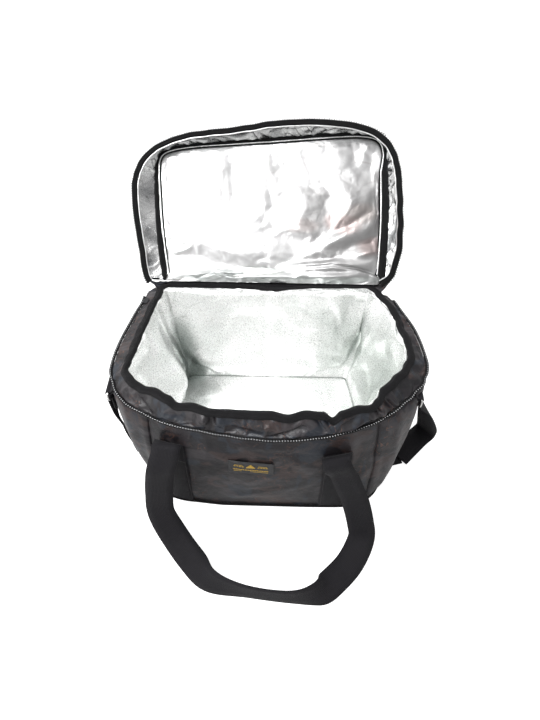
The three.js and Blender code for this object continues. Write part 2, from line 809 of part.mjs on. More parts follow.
// The webbing's end goes up behind the ring's lower bar, over it and down again
function strapTop() {
  const centreZ = ringBottomZ;
  return [
    { at: [ringX - wrapRadius + 0.6, ringY, centreZ - 26], across: [0, 1, 0] },
    { at: [ringX - wrapRadius, ringY, centreZ - 8], across: [0, 1, 0] },
    { at: [ringX - wrapRadius, ringY, centreZ], across: [0, 1, 0] },
    { at: [ringX, ringY, centreZ + wrapRadius], across: [0, 1, 0] },
    { at: [ringX + wrapRadius, ringY, centreZ], across: [0, 1, 0] },
    { at: [ringX + wrapRadius + 0.4, ringY, centreZ - 8], across: [0, 1, 0] },
  ];
}

const mirrored = (geometry) => {
  const flipped = geometry.clone();
  flipped.scale(-1, 1, 1);
  return facingOut(pointsOf(flipped), [...flipped.index.array]);
};

function pointsOf(geometry) {
  const { position } = geometry.attributes;
  const pointAt = (_, i) => new THREE.Vector3().fromBufferAttribute(position, i);
  return Array.from({ length: position.count }, pointAt);
}

function addRings() {
  const wallX = seamHalfWidth + clearance + tabThickness;
  const tabWrap = ringWireRadius + 2 * clearance + tabThickness / 2;
  const tabProfile = [
    [wallX, seamHeight(ringY) - tapeThickness - 3.5],
    [ringX - 4, ringTopZ + 2.6],
    [ringX + 0.6, ringTopZ + tabWrap],
    [ringX + tabWrap, ringTopZ - 0.4],
    [ringX, ringTopZ - tabWrap],
    [ringX - 4.6, ringTopZ - 1.6],
    [wallX, seamHeight(ringY) - tapeThickness - 8.5],
  ];
  const ring = wireRing(ringX, ringY, ringTopZ, ringDrop, ringInnerWidth);
  const tab = loopBand(tabProfile, ringY, webbingWidth, tabThickness);
  addPiece("ring_right", ring, "metal");
  addPiece("ring_left", mirrored(ring), "metal");
  addPiece("ring_tab_right", tab, "webbing");
  addPiece("ring_tab_left", mirrored(tab), "webbing");
}

const lineOf = (from, to, share) => from.map((value, i) => mix(value, to[i], share));
const strapRunX = baseHalfWidth + strapStandoff;
const adjusterTop = [-ringX - 4, ringY - 2.7, 0.491 * ringBottomZ];
const adjusterLow = [-strapRunX - 16, ringY - 10, 0.0686 * ringBottomZ];

// The shoulder strap: one drop at each side, and the long run that lies on the floor behind the bag
function addStrap() {
  const floorZ = webbingThickness / 2;
  const overlapZ = floorZ + webbingThickness + strapOverlapGap;
  const onEdge = webbingWidth / 2 + strapOverlapGap;
  const dropStop = (out, along, height, across) => ({
    at: [ringX + out * strapSpread, ringY + along * strapSpread, height * ringBottomZ],
    across,
  });
  const floorStop = (side, back, height, across) => ({
    at: [side * strapRunX, back * strapReach, height],
    across,
  });
  const slanted = [0.7, -0.7, 0];
  const right = [
    ...strapTop().map((stop) => ({ at: stop.at, across: [0, -1, 0] })),
    dropStop(0.264, 0.094, 0.789, [0.3, -0.95, 0]),
    dropStop(0.547, 0.302, 0.526, [0.6, -0.8, 0]),
    dropStop(0.83, 0.528, 0.274, [0.75, -0.66, 0]),
    dropStop(1, 0.66, 0.103, [0.72, -0.69, 0]),
    dropStop(1, 0.642, 0.04, slanted),
    dropStop(0.887, 0.528, overlapZ / ringBottomZ, slanted),
    dropStop(0.679, 0.321, overlapZ / ringBottomZ, slanted),
    floorStop(1.182, -0.173, overlapZ, slanted),
    floorStop(1.079, -0.239, overlapZ, slanted),
  ];
  const left = [
    ...strapTop().map((stop) => ({ at: [-stop.at[0], stop.at[1], stop.at[2]], across: [0, -1, 0] })),
    { at: [-ringX - 0.15 * strapSpread, ringY - 1, 0.743 * ringBottomZ], across: [0.1, -0.99, 0] },
    ...[0, 0.2, 0.5, 0.8, 1].map((share) => ({
      at: lineOf(adjusterTop, adjusterLow, share),
      across: adjusterAcross,
    })),
    floorStop(-1.054, -0.164, overlapZ, [0.8, -0.6, 0]),
    floorStop(-1.02, -0.113, overlapZ, [0.95, -0.3, 0]),
  ];
  const run = [
    floorStop(1.069, -0.245, floorZ, [1, 0.2, 0]),
    floorStop(1.03, -0.151, floorZ, [1, 0.15, 0]),
    floorStop(1, -0.031, floorZ, [1, 0, 0]),
    floorStop(1, 0.189, floorZ, [1, 0, 0]),
    floorStop(1, 0.409, floorZ, [1, 0, 0]),
    floorStop(0.99, 0.629, 0.36 * onEdge, [0.95, 0.1, 0.25]),
    floorStop(0.897, 0.824, 0.77 * onEdge, [0.5, 0.3, 0.75]),
    floorStop(0.64, 0.959, onEdge, [0.1, 0.15, 0.98]),
    floorStop(0, 1, onEdge, [0, 0.1, 0.99]),
    floorStop(-0.64, 0.959, onEdge, [-0.1, 0.15, 0.98]),
    floorStop(-0.897, 0.824, 0.77 * onEdge, [-0.5, 0.3, 0.75]),
    floorStop(-0.99, 0.629, 0.36 * onEdge, [-0.95, 0.1, 0.25]),
    floorStop(-1, 0.409, floorZ, [-1, 0, 0]),
    floorStop(-1, 0.189, floorZ, [-1, 0, 0]),
    floorStop(-1, -0.094, floorZ, [-1, 0, 0]),
  ];
  addPiece("strap_right", webbing(right, 60), "webbing");
  addPiece("strap_left", webbing(left, 52), "webbing");
  addPiece("strap_run", webbing(run, 56), "webbing");
}

// A flat shape from its corners, with a hole if one is given
function flatShape(corners, hole) {
  const shape = new THREE.Shape(corners.map((corner) => new THREE.Vector2(...corner)));
  if (hole) {
    shape.holes.push(new THREE.Path(hole.map((corner) => new THREE.Vector2(...corner))));
  }
  return shape;
}

function centredExtrusion(shape, depth) {
  const geometry = new THREE.ExtrudeGeometry(shape, { depth, bevelEnabled: false });
  geometry.translate(0, 0, -depth / 2);
  return geometry;
}

// Where a slider sits on the chain: out of the bag, up and along the chain are its own X, Y and Z
function chainPlacement() {
  const pointAt = (distance) => {
    const place = stepAlong(sliderPlace, distance);
    const [x, y] = outlinePoint(insetOutline(seamOutline, -teethMiddle), place);
    const [, seamY] = outlinePoint(seamOutline, place);
    return new THREE.Vector3(x, y, seamHeight(seamY));
  };
  const start = pointAt(0);
  const along = pointAt(sliderTravel).sub(start).normalize();
  const outward = new THREE.Vector3(-along.y, along.x, 0).normalize();
  const up = new THREE.Vector3().crossVectors(along, outward);
  return new THREE.Matrix4().makeBasis(outward, up, along).setPosition(start);
}

function addSliders() {
  const placement = chainPlacement();
  const bore = teethSize / 2 + sliderSlack;
  const top = bore + sliderTopSkin;
  const bottom = -bore - sliderBottomSkin;
  const channel = [
    [-top, top],
    [top, top],
    [top + 1, top - 1],
    [top + 1, bottom + 1],
    [top, bottom],
    [-top, bottom],
    [-top, -bore],
    [bore, -bore],
    [bore + 0.4, 0.4 - bore],
    [bore + 0.4, bore - 0.4],
    [bore, bore],
    [-top, bore],
  ];
  const body = centredExtrusion(flatShape(channel), sliderLength);
  const reach = sliderLength / 2 - bridgeBar;
  const barTop = bottom - bridgeOpening;
  const arch = [
    [-reach, bottom + 0.1],
    [-reach, barTop - bridgeBar],
    [reach, barTop - bridgeBar],
    [reach, bottom + 0.1],
    [reach - bridgeBar, bottom + 0.1],
    [reach - bridgeBar, barTop],
    [bridgeBar - reach, barTop],
    [bridgeBar - reach, bottom + 0.1],
  ];
  const bridge = centredExtrusion(flatShape(arch), bridgeWidth);
  bridge.rotateY(Math.PI / 2);
  const slider = unite(body, bridge);
  const eyeTop = (bottom + barTop) / 2 + pullEye / 2;
  const rectangle = (halfWidth, high, low) => [
    [-halfWidth, low],
    [halfWidth, low],
    [halfWidth, high],
    [-halfWidth, high],
  ];
  const hole = rectangle(pullHoleWidth / 2, eyeTop - pullEye, eyeTop - pullEye - pullHoleLength);
  const outline = rectangle(pullWidth / 2, eyeTop, eyeTop - pullLength);
  const pull = fromManifold(toManifold(centredExtrusion(flatShape(outline, hole), pullThickness)));
  slider.applyMatrix4(placement);
  pull.applyMatrix4(placement);
  addPiece("zip_slider_right", slider, "metal");
  addPiece("zip_slider_left", mirrored(slider), "metal");
  addPiece("zip_pull_right", pull, "metal");
  addPiece("zip_pull_left", mirrored(pull), "metal");
}

// The strap adjuster: two end bars behind the webbing and a middle bar in front of it
function addAdjuster() {
  const along = new THREE.Vector3(...adjusterTop).sub(new THREE.Vector3(...adjusterLow)).normalize();
  const across = new THREE.Vector3(...adjusterAcross);
  across.addScaledVector(along, -across.dot(along)).normalize();
  const face = new THREE.Vector3().crossVectors(across, along);
  const inside = webbingWidth + 2 * adjusterSlack;
  const full = inside + 2 * adjusterBar;
  const barZ = webbingThickness / 2 + adjusterSlack + adjusterThickness / 2;
  const railDepth = 2 * barZ + adjusterThickness;
  const railX = (inside + adjusterBar) / 2;
  const endY = (adjusterHeight - adjusterBar) / 2;
  let body = toManifold(boxOf(full, adjusterBar, adjusterThickness, 0, 0, barZ));
  const others = [
    boxOf(adjusterBar, adjusterHeight, railDepth, railX, 0, 0),
    boxOf(adjusterBar, adjusterHeight, railDepth, -railX, 0, 0),
    boxOf(full, adjusterBar, adjusterThickness, 0, endY, -barZ),
    boxOf(full, adjusterBar, adjusterThickness, 0, -endY, -barZ),
  ];
  for (const other of others) {
    body = body.add(toManifold(other));
  }
  const geometry = fromManifold(body);
  const at = lineOf(adjusterLow, adjusterTop, adjusterShare);
  geometry.applyMatrix4(new THREE.Matrix4().makeBasis(across, along, face).setPosition(...at));
  addPiece("strap_adjuster", geometry, "plastic");
}

addWalls();
addBase();
addRimBinding();
addBodyZip();
addHinge();
addLid();
addAnchors();
addHandles();
addLabel();
addRings();
addStrap();
addSliders();
addAdjuster();

export default bag;
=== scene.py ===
import math

import bmesh
import bpy
from mathutils import Matrix, Vector, noise


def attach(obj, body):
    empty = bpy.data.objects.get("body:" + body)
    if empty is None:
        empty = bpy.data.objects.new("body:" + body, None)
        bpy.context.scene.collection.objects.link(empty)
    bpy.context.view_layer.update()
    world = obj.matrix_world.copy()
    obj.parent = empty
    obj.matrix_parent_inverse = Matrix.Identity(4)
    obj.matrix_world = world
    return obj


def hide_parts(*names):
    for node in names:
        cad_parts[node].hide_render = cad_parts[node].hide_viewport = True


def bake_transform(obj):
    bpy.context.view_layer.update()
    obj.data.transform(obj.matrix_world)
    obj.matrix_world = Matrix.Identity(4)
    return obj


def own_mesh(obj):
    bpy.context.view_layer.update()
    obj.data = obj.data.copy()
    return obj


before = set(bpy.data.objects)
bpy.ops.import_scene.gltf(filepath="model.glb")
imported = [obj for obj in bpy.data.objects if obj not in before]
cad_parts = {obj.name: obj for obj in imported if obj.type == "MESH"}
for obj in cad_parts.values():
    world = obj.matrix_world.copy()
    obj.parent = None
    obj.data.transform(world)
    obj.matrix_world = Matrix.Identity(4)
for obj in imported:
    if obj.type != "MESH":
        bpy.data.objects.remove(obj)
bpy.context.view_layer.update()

scene = bpy.context.scene
scene.view_settings.view_transform = "Standard"
mm = 0.001

# camera: the photograph's view, from above and in front
view = {"place": (0.0197, -0.4847, 0.812), "down": 52.2, "heading": 1.5, "lens": 26}
eye = bpy.data.cameras.new("camera")
eye.sensor_fit = "VERTICAL"
eye.sensor_height = 36
eye.lens = view["lens"]
eye.clip_end = 30
camera = bpy.data.objects.new("camera", eye)
camera.location = view["place"]
camera.rotation_euler = (math.radians(90 - view["down"]), 0, math.radians(view["heading"]))
scene.collection.objects.link(camera)
scene.camera = camera


# shader kit: a Value wraps a socket, and its + - * make the Math nodes
class Value:
    def __init__(self, shader, socket):
        self.shader = shader
        self.socket = socket

    def maths(self, operation, *others):
        inputs = dict(enumerate([self, *others]))
        return self.shader.add("ShaderNodeMath", {"operation": operation}, inputs)

    def __add__(self, other):
        return self.maths("ADD", other)

    def __sub__(self, other):
        return self.maths("SUBTRACT", other)

    def __mul__(self, other):
        return self.maths("MULTIPLY", other)

    def sine(self):
        return self.maths("SINE")

    def absolute(self):
        return self.maths("ABSOLUTE")

    def fit(self, low, high, newLow=0.0, newHigh=1.0, kind="SMOOTHSTEP"):
        inputs = {0: self, 1: low, 2: high, 3: newLow, 4: newHigh}
        return self.shader.add("ShaderNodeMapRange", {"interpolation_type": kind}, inputs)


# the nodes of a material, or of the world with its own surface and output
class Shader:
    def __init__(self, owner, surface="ShaderNodeBsdfPrincipled", output="ShaderNodeOutputMaterial"):
        owner.use_nodes = True
        self.owner = owner
        self.tree = owner.node_tree
        self.tree.nodes.clear()
        self.output = self.tree.nodes.new(output)
        self.surface = self.tree.nodes.new(surface)
        self.tree.links.new(self.surface.outputs[0], self.output.inputs[0])

    def put(self, socket, value):
        if isinstance(value, Value):
            self.tree.links.new(value.socket, socket)
        elif socket.type == "RGBA" and len(value) == 3:
            socket.default_value = (*value, 1)
        else:
            socket.default_value = value

    def add(self, kind, settings=None, inputs=None, output=0):
        node = self.tree.nodes.new(kind)
        for key, value in (settings or {}).items():
            setattr(node, key, value)
        for key, value in (inputs or {}).items():
            self.put(node.inputs[key], value)
        return Value(self, node.outputs[output])

    def objectPlace(self):
        return self.add("ShaderNodeTexCoord", output="Object")

    def uvPlace(self):
        return self.add("ShaderNodeTexCoord", output="UV")

    def stretched(self, place, scale, turn=(0, 0, 0)):
        inputs = {"Vector": place, "Scale": scale, "Rotation": turn}
        return self.add("ShaderNodeMapping", None, inputs)

    def parts(self, place):
        split = self.tree.nodes.new("ShaderNodeSeparateXYZ")
        self.put(split.inputs[0], place)
        return [Value(self, out) for out in split.outputs]

    def clouds(self, place, scale, detail=3.0, rough=0.5, distortion=0.0):
        inputs = {"Vector": place, "Scale": scale, "Detail": detail, "Roughness": rough, "Distortion": distortion}
        return self.add("ShaderNodeTexNoise", None, inputs)

    def creases(self, place, scale):
        inputs = {"Vector": place, "Scale": scale, "Randomness": 1.0}
        return self.add("ShaderNodeTexVoronoi", {"feature": "DISTANCE_TO_EDGE"}, inputs, "Distance")

    def blend(self, share, first, second):
        return self.add("ShaderNodeMix", {"data_type": "RGBA"}, {0: share, 6: first, 7: second}, 2)

    def bump(self, height, distance, strength=1.0, under=None):
        inputs = {"Height": height, "Distance": distance, "Strength": strength}
        if under:
            inputs["Normal"] = under
        return self.add("ShaderNodeBump", None, inputs)

    def finish(self, **sockets):
        for name, value in sockets.items():
            self.put(self.surface.inputs[name.replace("_", " ")], value)
        return self.owner


# finishes
camoLook = {
    "ground": (0.0095, 0.0078, 0.0098),
    "brown": (0.028, 0.018, 0.0175),
    "blue": (0.013, 0.016, 0.023),
    "grey": (0.031, 0.027, 0.030),
    "dark": (0.0045, 0.004, 0.0055),
    "reed": (0.13, 0.060, 0.038),
    # the patches: stretch, turn, scale, detail, roughness and distortion of each layer
    "patches": [
        ((1, 1.2, 1.7), (0, 0, 0), 17.0, 2.5, 0.55, 0.6), ((1.4, 1, 0.9), (0.4, 0.2, 1.1), 21.25, 2.5, 0.55, 0.8),
        ((0.8, 1.3, 1.2), (1.4, 0.7, 0.3), 28.9, 2.0, 0.5, 0.5),
    ],
    "weave": 4200.0,
}


def camoFabric(name="camoFabric", rough=(0.36, 0.5), shine=0.30):
    s = Shader(bpy.data.materials.new(name))
    place = s.objectPlace()
    layers = [s.clouds(s.stretched(place, scale, turn), *rest) for scale, turn, *rest in camoLook["patches"]]
    first, second, third = layers
    colour = s.blend(first.fit(0.52, 0.57), camoLook["ground"], camoLook["brown"])
    colour = s.blend(second.fit(0.54, 0.60), colour, camoLook["blue"])
    colour = s.blend(third.fit(0.57, 0.63) * 0.8, colour, camoLook["grey"])
    colour = s.blend(third.fit(0.42, 0.36) * 0.9, colour, camoLook["dark"])
    reeds = s.clouds(place, 42.0, 1.0, 0.4, 2.2)
    line = (reeds - 0.5).absolute().fit(0.014, 0.0)
    patchy = s.clouds(place, 21.0, 1.0).fit(0.52, 0.58)
    colour = s.blend(line * patchy * 0.7, colour, camoLook["reed"])
    x, y, z = s.parts(place)
    weave = ((x + y) * camoLook["weave"]).sine() * (z * camoLook["weave"]).sine()
    grain = s.clouds(place, 900.0, 2.0)
    creased = s.bump(s.clouds(place, 60.0, 3.0), 0.0022, 0.5)
    return s.finish(
        Base_Color=colour,
        Roughness=grain.fit(0.2, 0.8, *rough),
        Normal=s.bump(weave * 0.35 + grain * 0.5, 0.00012, 0.5, creased),
        Specular_IOR_Level=shine,
        Sheen_Weight=0.04,
        Sheen_Roughness=0.4,
    )


webbingLook = {
    "colour": (0.006, 0.0055, 0.007), "light": (0.017, 0.016, 0.019), "ribPitch": 2.0 * mm, "rowPitch": 1.6 * mm,
}


def webbingCloth():
    s = Shader(bpy.data.materials.new("webbingCloth"))
    u, v, _ = s.parts(s.uvPlace())
    rows = (u * (2 * math.pi / webbingLook["rowPitch"])).sine()
    zigzag = (v * (2 * math.pi / webbingLook["ribPitch"]) + rows * 0.9).sine()
    grain = s.clouds(s.objectPlace(), 1300.0, 2.0)
    shade = s.clouds(s.objectPlace(), 45.0, 3.0)
    share = zigzag.fit(-1, 1) * 0.35 + shade * 0.3
    return s.finish(
        Base_Color=s.blend(share, webbingLook["colour"], webbingLook["light"]),
        Roughness=grain.fit(0.2, 0.8, 0.6, 0.8),
        Normal=s.bump(zigzag * 0.5 + rows * 0.4 + grain, 0.00022, 0.8),
        Specular_IOR_Level=0.15,
        Sheen_Weight=0.04,
        Sheen_Roughness=0.5,
    )


bindingLook = {"colour": (0.004, 0.004, 0.0045), "light": (0.013, 0.012, 0.014), "rib": 1.7 * mm}
zipTapeLook = {"colour": (0.004, 0.004, 0.0045), "light": (0.010, 0.010, 0.011), "rib": 1.0 * mm}


def bindingTape(name, look):
    s = Shader(bpy.data.materials.new(name))
    along = s.parts(s.uvPlace())[0]
    rib = (along * (2 * math.pi / look["rib"])).sine()
    grain = s.clouds(s.objectPlace(), 1500.0, 2.0)
    shade = s.clouds(s.objectPlace(), 70.0, 3.0)
    return s.finish(
        Base_Color=s.blend(rib.fit(-0.2, 1) * 0.55 + shade * 0.2, look["colour"], look["light"]),
        Roughness=grain.fit(0.2, 0.8, 0.55, 0.75),
        Normal=s.bump(rib + grain * 0.5, 0.00025, 0.8),
        Specular_IOR_Level=0.16,
        Sheen_Weight=0.02,
    )


# the spots below are soft darker spots of painted shade and painted reflection: centre x, y, z, reach x, y, z, amount
# and colour
foilLook = {
    "light": (0.97, 0.97, 0.965), "shade": (0.88, 0.90, 0.885),
    "crease": (0.45, 0.48, 0.45), "hollowShade": (0.34, 0.37, 0.355),
    "metal": 0.52, "rough": (0.22, 0.36), "wavy": 1.5,
    "paintedShades": [
        (-0.146, 0.108, 0.060, 0.038, 0.050, 0.110, 0.85, (0.14, 0.17, 0.155)),
        (-0.120, 0.055, 0.015, 0.055, 0.050, 0.030, 0.6, (0.22, 0.25, 0.235)),
        (0.180, -0.020, 0.110, 0.070, 0.150, 0.160, 0.75, (0.36, 0.40, 0.37)),
        (0.130, 0.105, 0.110, 0.060, 0.040, 0.110, 0.5, (0.45, 0.49, 0.46)),
    ],
}

# a darker copy of the silver foil for the lid: painted shade and painted reflection, with spots for the reflected dark
# surroundings and the shade of the hinge fold
shadedLidFoilLook = {
    "light": (0.88, 0.88, 0.88), "shade": (0.72, 0.72, 0.72),
    "crease": (0.42, 0.38, 0.36), "hollowShade": (0.16, 0.16, 0.16),
    "metal": 0.95, "rough": (0.27, 0.40), "wavy": 0.4,
    "paintedShades": [
        (0.140, 0, 0.292, 0.145, 9, 0.072, 0.82, (0.30, 0.295, 0.295)),
        (0.116, 0, 0.293, 0.034, 9, 0.012, 0.6, (0.30, 0.22, 0.21)),
        (0.052, 0, 0.289, 0.034, 9, 0.010, 0.4, (0.32, 0.25, 0.23)),
        (0.148, 0, 0.305, 0.030, 9, 0.012, 0.5, (0.30, 0.25, 0.23)),
        (0.164, 0, 0.270, 0.030, 9, 0.010, 0.6, (0.28, 0.20, 0.19)),
        (0.02, 0, 0.2365, 0.22, 9, 0.010, 0.7, (0.36, 0.385, 0.375)),
    ],
}

# a much darker copy of the silver foil for the lid's gusset: painted shade
shadedGussetFoilLook = {
    "light": (0.78, 0.78, 0.78), "shade": (0.14, 0.145, 0.15),
    "crease": (0.04, 0.04, 0.045), "hollowShade": (0.04, 0.04, 0.04),
    "metal": 1.0, "rough": (0.2, 0.3), "wavy": 1.5, "paintedShades": [],
}


def silverFoil(name, look):
    s = Shader(bpy.data.materials.new(name))
    place = s.objectPlace()
    broad = s.clouds(place, 16.0, 4.0, 0.55, 0.8)
    fine = s.creases(place, 70.0)
    wide = s.creases(place, 24.0)
    grain = s.clouds(place, 700.0, 2.0)
    # the colour follows the broad crumple of the bump: painted shade in its low parts
    colour = s.blend(broad.fit(0.3, 0.6), look["shade"], look["light"])
    # painted shade along the creases of the bump
    colour = s.blend(wide.fit(0.05, 0.0) * broad.fit(0.5, 0.62) * 0.35, colour, look["crease"])
    x, y, z = s.parts(place)
    # painted shade and painted reflection at the listed spots
    for *spot, amount, paintedShade in look["paintedShades"]:
        far = [(part - centre) * (1 / reach) for part, centre, reach in zip((x, y, z), spot[:3], spot[3:])]
        spread = far[0] * far[0] + far[1] * far[1] + far[2] * far[2] + broad
        colour = s.blend(spread.fit(1.6, 0.6) * amount, colour, paintedShade)
    # ambient occlusion paints shade into the colour in hollows and corners
    bright = s.add("ShaderNodeAmbientOcclusion", {"samples": 6}, {"Distance": 0.07}, 1)
    height = fine.fit(0.0, 0.3) * 0.08 + wide.fit(0.0, 0.25) * 0.25 + broad * look["wavy"]
    return s.finish(
        Base_Color=s.blend(bright.fit(0.36, 0.08), colour, look["hollowShade"]),
        Metallic=look["metal"],
        Roughness=grain.fit(0.2, 0.8, *look["rough"]),
        Normal=s.bump(grain, 0.00015, 0.5, s.bump(height, 0.0022, 0.6)),
    )


def plainFinish(name, colour, rough, metallic=0.0, grainScale=500.0, grainHeight=0.00008, light=1.35):
    s = Shader(bpy.data.materials.new(name))
    grain = s.clouds(s.objectPlace(), grainScale, 3.0)
    wear = s.clouds(s.objectPlace(), grainScale / 12, 3.0)
    return s.finish(
        Base_Color=s.blend(wear, colour, tuple(min(c * light, 1) for c in colour)),
        Metallic=metallic,
        Roughness=grain.fit(0.2, 0.8, rough * 0.85, min(rough * 1.2, 1)),
        Normal=s.bump(grain, grainHeight, 0.6),
    )


finishes = {
    "camo": camoFabric(),
    "glossyCamo": camoFabric("glossyCamo", (0.33, 0.46), 0.5),
    "webbing": webbingCloth(),
    "binding": bindingTape("bindingTape", bindingLook),
    "foil": silverFoil("silverFoil", foilLook),
    "shadedLidFoil": silverFoil("shadedLidFoil", shadedLidFoilLook),
    "shadedGussetFoil": silverFoil("shadedGussetFoil", shadedGussetFoilLook),
    "zipTape": bindingTape("zipTape", zipTapeLook),
    "teeth": plainFinish("zipTeeth", (0.012, 0.012, 0.013), 0.3, 0.0, 900.0, 0.00003),
    # a lighter copy of the dark zip teeth: painted glints
    "glintPaintedTeeth": plainFinish("glintPaintedTeeth", (0.36, 0.36, 0.37), 0.25, 0.3, 900.0, 0.00003),
    "darkMetal": plainFinish("darkMetal", (0.03, 0.03, 0.032), 0.3, 0.7, 600.0, 0.00002),
    "metal": plainFinish("plainMetal", (0.55, 0.55, 0.54), 0.25, 1.0, 600.0, 0.00002),
    "plastic": plainFinish("darkPlastic", (0.02, 0.02, 0.021), 0.38),
    "foam": plainFinish("closedFoam", (0.80, 0.80, 0.77), 0.9, 0.0, 300.0, 0.0004, 1.08),
    "leather": plainFinish("labelBase", (0.010, 0.010, 0.011), 0.42, 0.0, 700.0, 0.00018, 1.6),
    "gold": plainFinish("labelGold", (0.62, 0.40, 0.07), 0.35, 0.75, 700.0, 0.00003, 1.15),
    "thread": plainFinish("thread", (0.045, 0.04, 0.042), 0.7, 0.0, 2000.0, 0.00005),
}


# outlines and the wall, as in the solids; a place runs from 0 at the middle of the back,
# by the right, to 1 at the middle of the front, and on by the left to 2
bodyShape = {
    "base": {
        "backHalf": 0.170, "half": 0.182, "wideY": -0.020, "backY": 0.118,
        "frontY": -0.152, "power": 6, "radius": 0.030,
        # how the soft edge wanders: place round the outline, outwards in mm
        "wave": [
            (0, 0), (0.5, 2), (0.6, 8), (0.68, 9), (0.76, 2), (0.85, 0), (1.1, 0), (1.18, -3), (1.28, -5),
            (1.36, -3), (1.5, 0),
        ],
    },
    "seam": {
        "backHalf": 0.178, "half": 0.214, "wideY": -0.035, "backY": 0.118,
        "frontY": -0.1338, "power": 2.5, "radius": 0.022,
    },
    "rim": {
        "backHalf": 0.173, "half": 0.199, "wideY": 0.0, "backY": 0.118,
        "frontY": -0.119, "power": 2.6, "radius": 0.016,
    },
    "backY": 0.118,
    "seamFrontZ": 0.195,
    "frontZ": 0.197,
    "seamBackZ": 0.219,
    "rimZ": 0.221,
    "rimBackZ": 0.2255,
    "bulge": 0.004,
    "fabric": 0.0012,
    "thickness": 0.0095,
    "rimThickness": 0.008,
    # how the soft mouth wanders: place round the outline, outwards and upwards in mm
    "seamWave": [
        (0, 0), (0.24, 3), (0.27, 11), (0.33, 19), (0.4, 23), (0.47, 22), (0.53, 13), (0.6, 0), (0.66, -6),
        (0.72, -6), (0.78, -3), (0.83, 0), (0.88, 3.5), (0.94, 6), (0.985, 6.5), (1.03, 4), (1.08, 0.5),
        (1.13, -2.5), (1.2, -3), (1.26, -5), (1.33, -1.5), (1.41, 1.5), (1.5, 7.5), (1.6, 7.5), (1.66, 10),
        (1.7, 16), (1.74, 12), (1.78, 2),
    ],
    # how far the soft sides bulge out below the zip: place round the outline, mm
    "sag": [
        (0, 0), (0.3, 0), (0.42, 5), (0.52, 15), (0.62, 20), (0.68, 16), (0.73, 6), (0.77, 0), (1.23, 0), (1.27, 6),
        (1.33, 14), (1.4, 15), (1.48, 10), (1.58, 3), (1.65, 0),
    ],
    "rimWave": [
        (0, 0), (0.05, 0.5), (0.1, 4), (0.2, 5.5), (0.25, 3.5), (0.3, 4), (0.36, 10, 1), (0.4, 11, -1), (0.43, 8, 1),
        (0.47, 11, 1), (0.53, 14), (0.595, 6), (0.65, -2, 1), (0.715, -4, 2), (0.745, 4, -2), (0.765, 8, -3),
        (0.8, 5, 1), (0.835, 6, -1), (0.853, 9, -9), (0.872, 3, -1), (0.91, 0, 1), (0.945, 4, -2), (0.985, 0, 0.5),
        (1.03, 0), (1.07, 0, 0.5), (1.107, 1), (1.15, -3, 0.5), (1.185, 0, -3), (1.21, -4, 1), (1.25, -6, 1),
        (1.29, 1, -1), (1.33, 5), (1.377, 8, -2), (1.412, 0, 1), (1.47, -6), (1.53, -9), (1.59, -9), (1.667, -4),
        (1.72, 0),
    ],
}


def mixed(first, second, share):
    return first + (second - first) * share


def halfOutline(shape, place):
    cornerX = shape["backHalf"] - shape["radius"]
    cornerY = shape["backY"] - shape["radius"]
    flare = math.atan((shape["half"] - shape["backHalf"]) * math.pi / 2 / (cornerY - shape["wideY"]))
    if place <= 0.2:
        return cornerX * place / 0.2, shape["backY"]
    if place <= 0.3:
        turn = (place - 0.2) / 0.1 * (math.pi / 2 - flare)
        return cornerX + shape["radius"] * math.sin(turn), cornerY + shape["radius"] * math.cos(turn)
    if place <= 0.5:
        along = (place - 0.3) / 0.2
        startX = cornerX + shape["radius"] * math.cos(flare)
        startY = cornerY + shape["radius"] * math.sin(flare)
        return mixed(startX, shape["half"], math.sin(along * math.pi / 2)), mixed(startY, shape["wideY"], along)
    turn = (place - 0.5) / 0.5 * math.pi / 2
    across, forward = math.cos(turn), math.sin(turn)
    reach = (abs(across) ** shape["power"] + forward ** shape["power"]) ** (-1 / shape["power"])
    return shape["half"] * across * reach, shape["wideY"] + (shape["frontY"] - shape["wideY"]) * forward * reach


def outlinePoint(shape, place):
    place %= 2
    if place > 1:
        x, y = halfOutline(shape, 2 - place)
        return Vector((-x, y, 0))
    return Vector((*halfOutline(shape, place), 0))


def outwardAt(shape, place):
    step = outlinePoint(shape, place + 0.003) - outlinePoint(shape, place - 0.003)
    return Vector((-step.y, step.x, 0)).normalized()


# outwards and upwards at a place; a stop without a third number has no rise
def waveAt(stops, place):
    place %= 2
    ring = [(*stop, 0)[:3] for stop in stops]
    ring.append((2, *ring[0][1:]))
    for (start, *low), (end, *high) in zip(ring, ring[1:]):
        if start <= place <= end:
            share = (place - start) / (end - start)
            share = share * share * (3 - 2 * share)
            return [mixed(a, b, share) * mm for a, b in zip(low, high)]
    return [0, 0]


def seamHeight(y):
    share = (y - bodyShape["seam"]["frontY"]) / (bodyShape["backY"] - bodyShape["seam"]["frontY"])
    return mixed(bodyShape["seamFrontZ"], bodyShape["seamBackZ"], share)


def rimHeight(y):
    return mixed(bodyShape["rimZ"], bodyShape["rimBackZ"], max(y / bodyShape["backY"], 0) ** 2)


def wallPoint(place, level, inset=0.0, bottom=0.0, sag=1.0):
    seam = outlinePoint(bodyShape["seam"], place)
    seamNormal = outwardAt(bodyShape["seam"], place)
    seamOut, seamUp = waveAt(bodyShape["seamWave"], place)
    seam += seamNormal * (seamOut - inset)
    seamZ = seamHeight(outlinePoint(bodyShape["seam"], place).y) + seamUp
    if level <= 1:
        base = outlinePoint(bodyShape["base"], place)
        base += outwardAt(bodyShape["base"], place) * (waveAt(bodyShape["base"]["wave"], place)[0] - inset)
        point = base.lerp(seam, level)
        point += seamNormal * bodyShape["bulge"] * math.sin(level * math.pi)
        point += seamNormal * waveAt(bodyShape["sag"], place)[0] * sag * (4 * level * (1 - level)) ** 0.45
        point.z = mixed(bottom, seamZ, level)
        return point
    rim = outlinePoint(bodyShape["rim"], place)
    rimOut, rimUp = waveAt(bodyShape["rimWave"], place)
    rim += outwardAt(bodyShape["rim"], place) * (rimOut - inset)
    point = seam.lerp(rim, level - 1)
    point.z = mixed(seamZ, rimHeight(rim.y) + rimUp, level - 1)
    return point


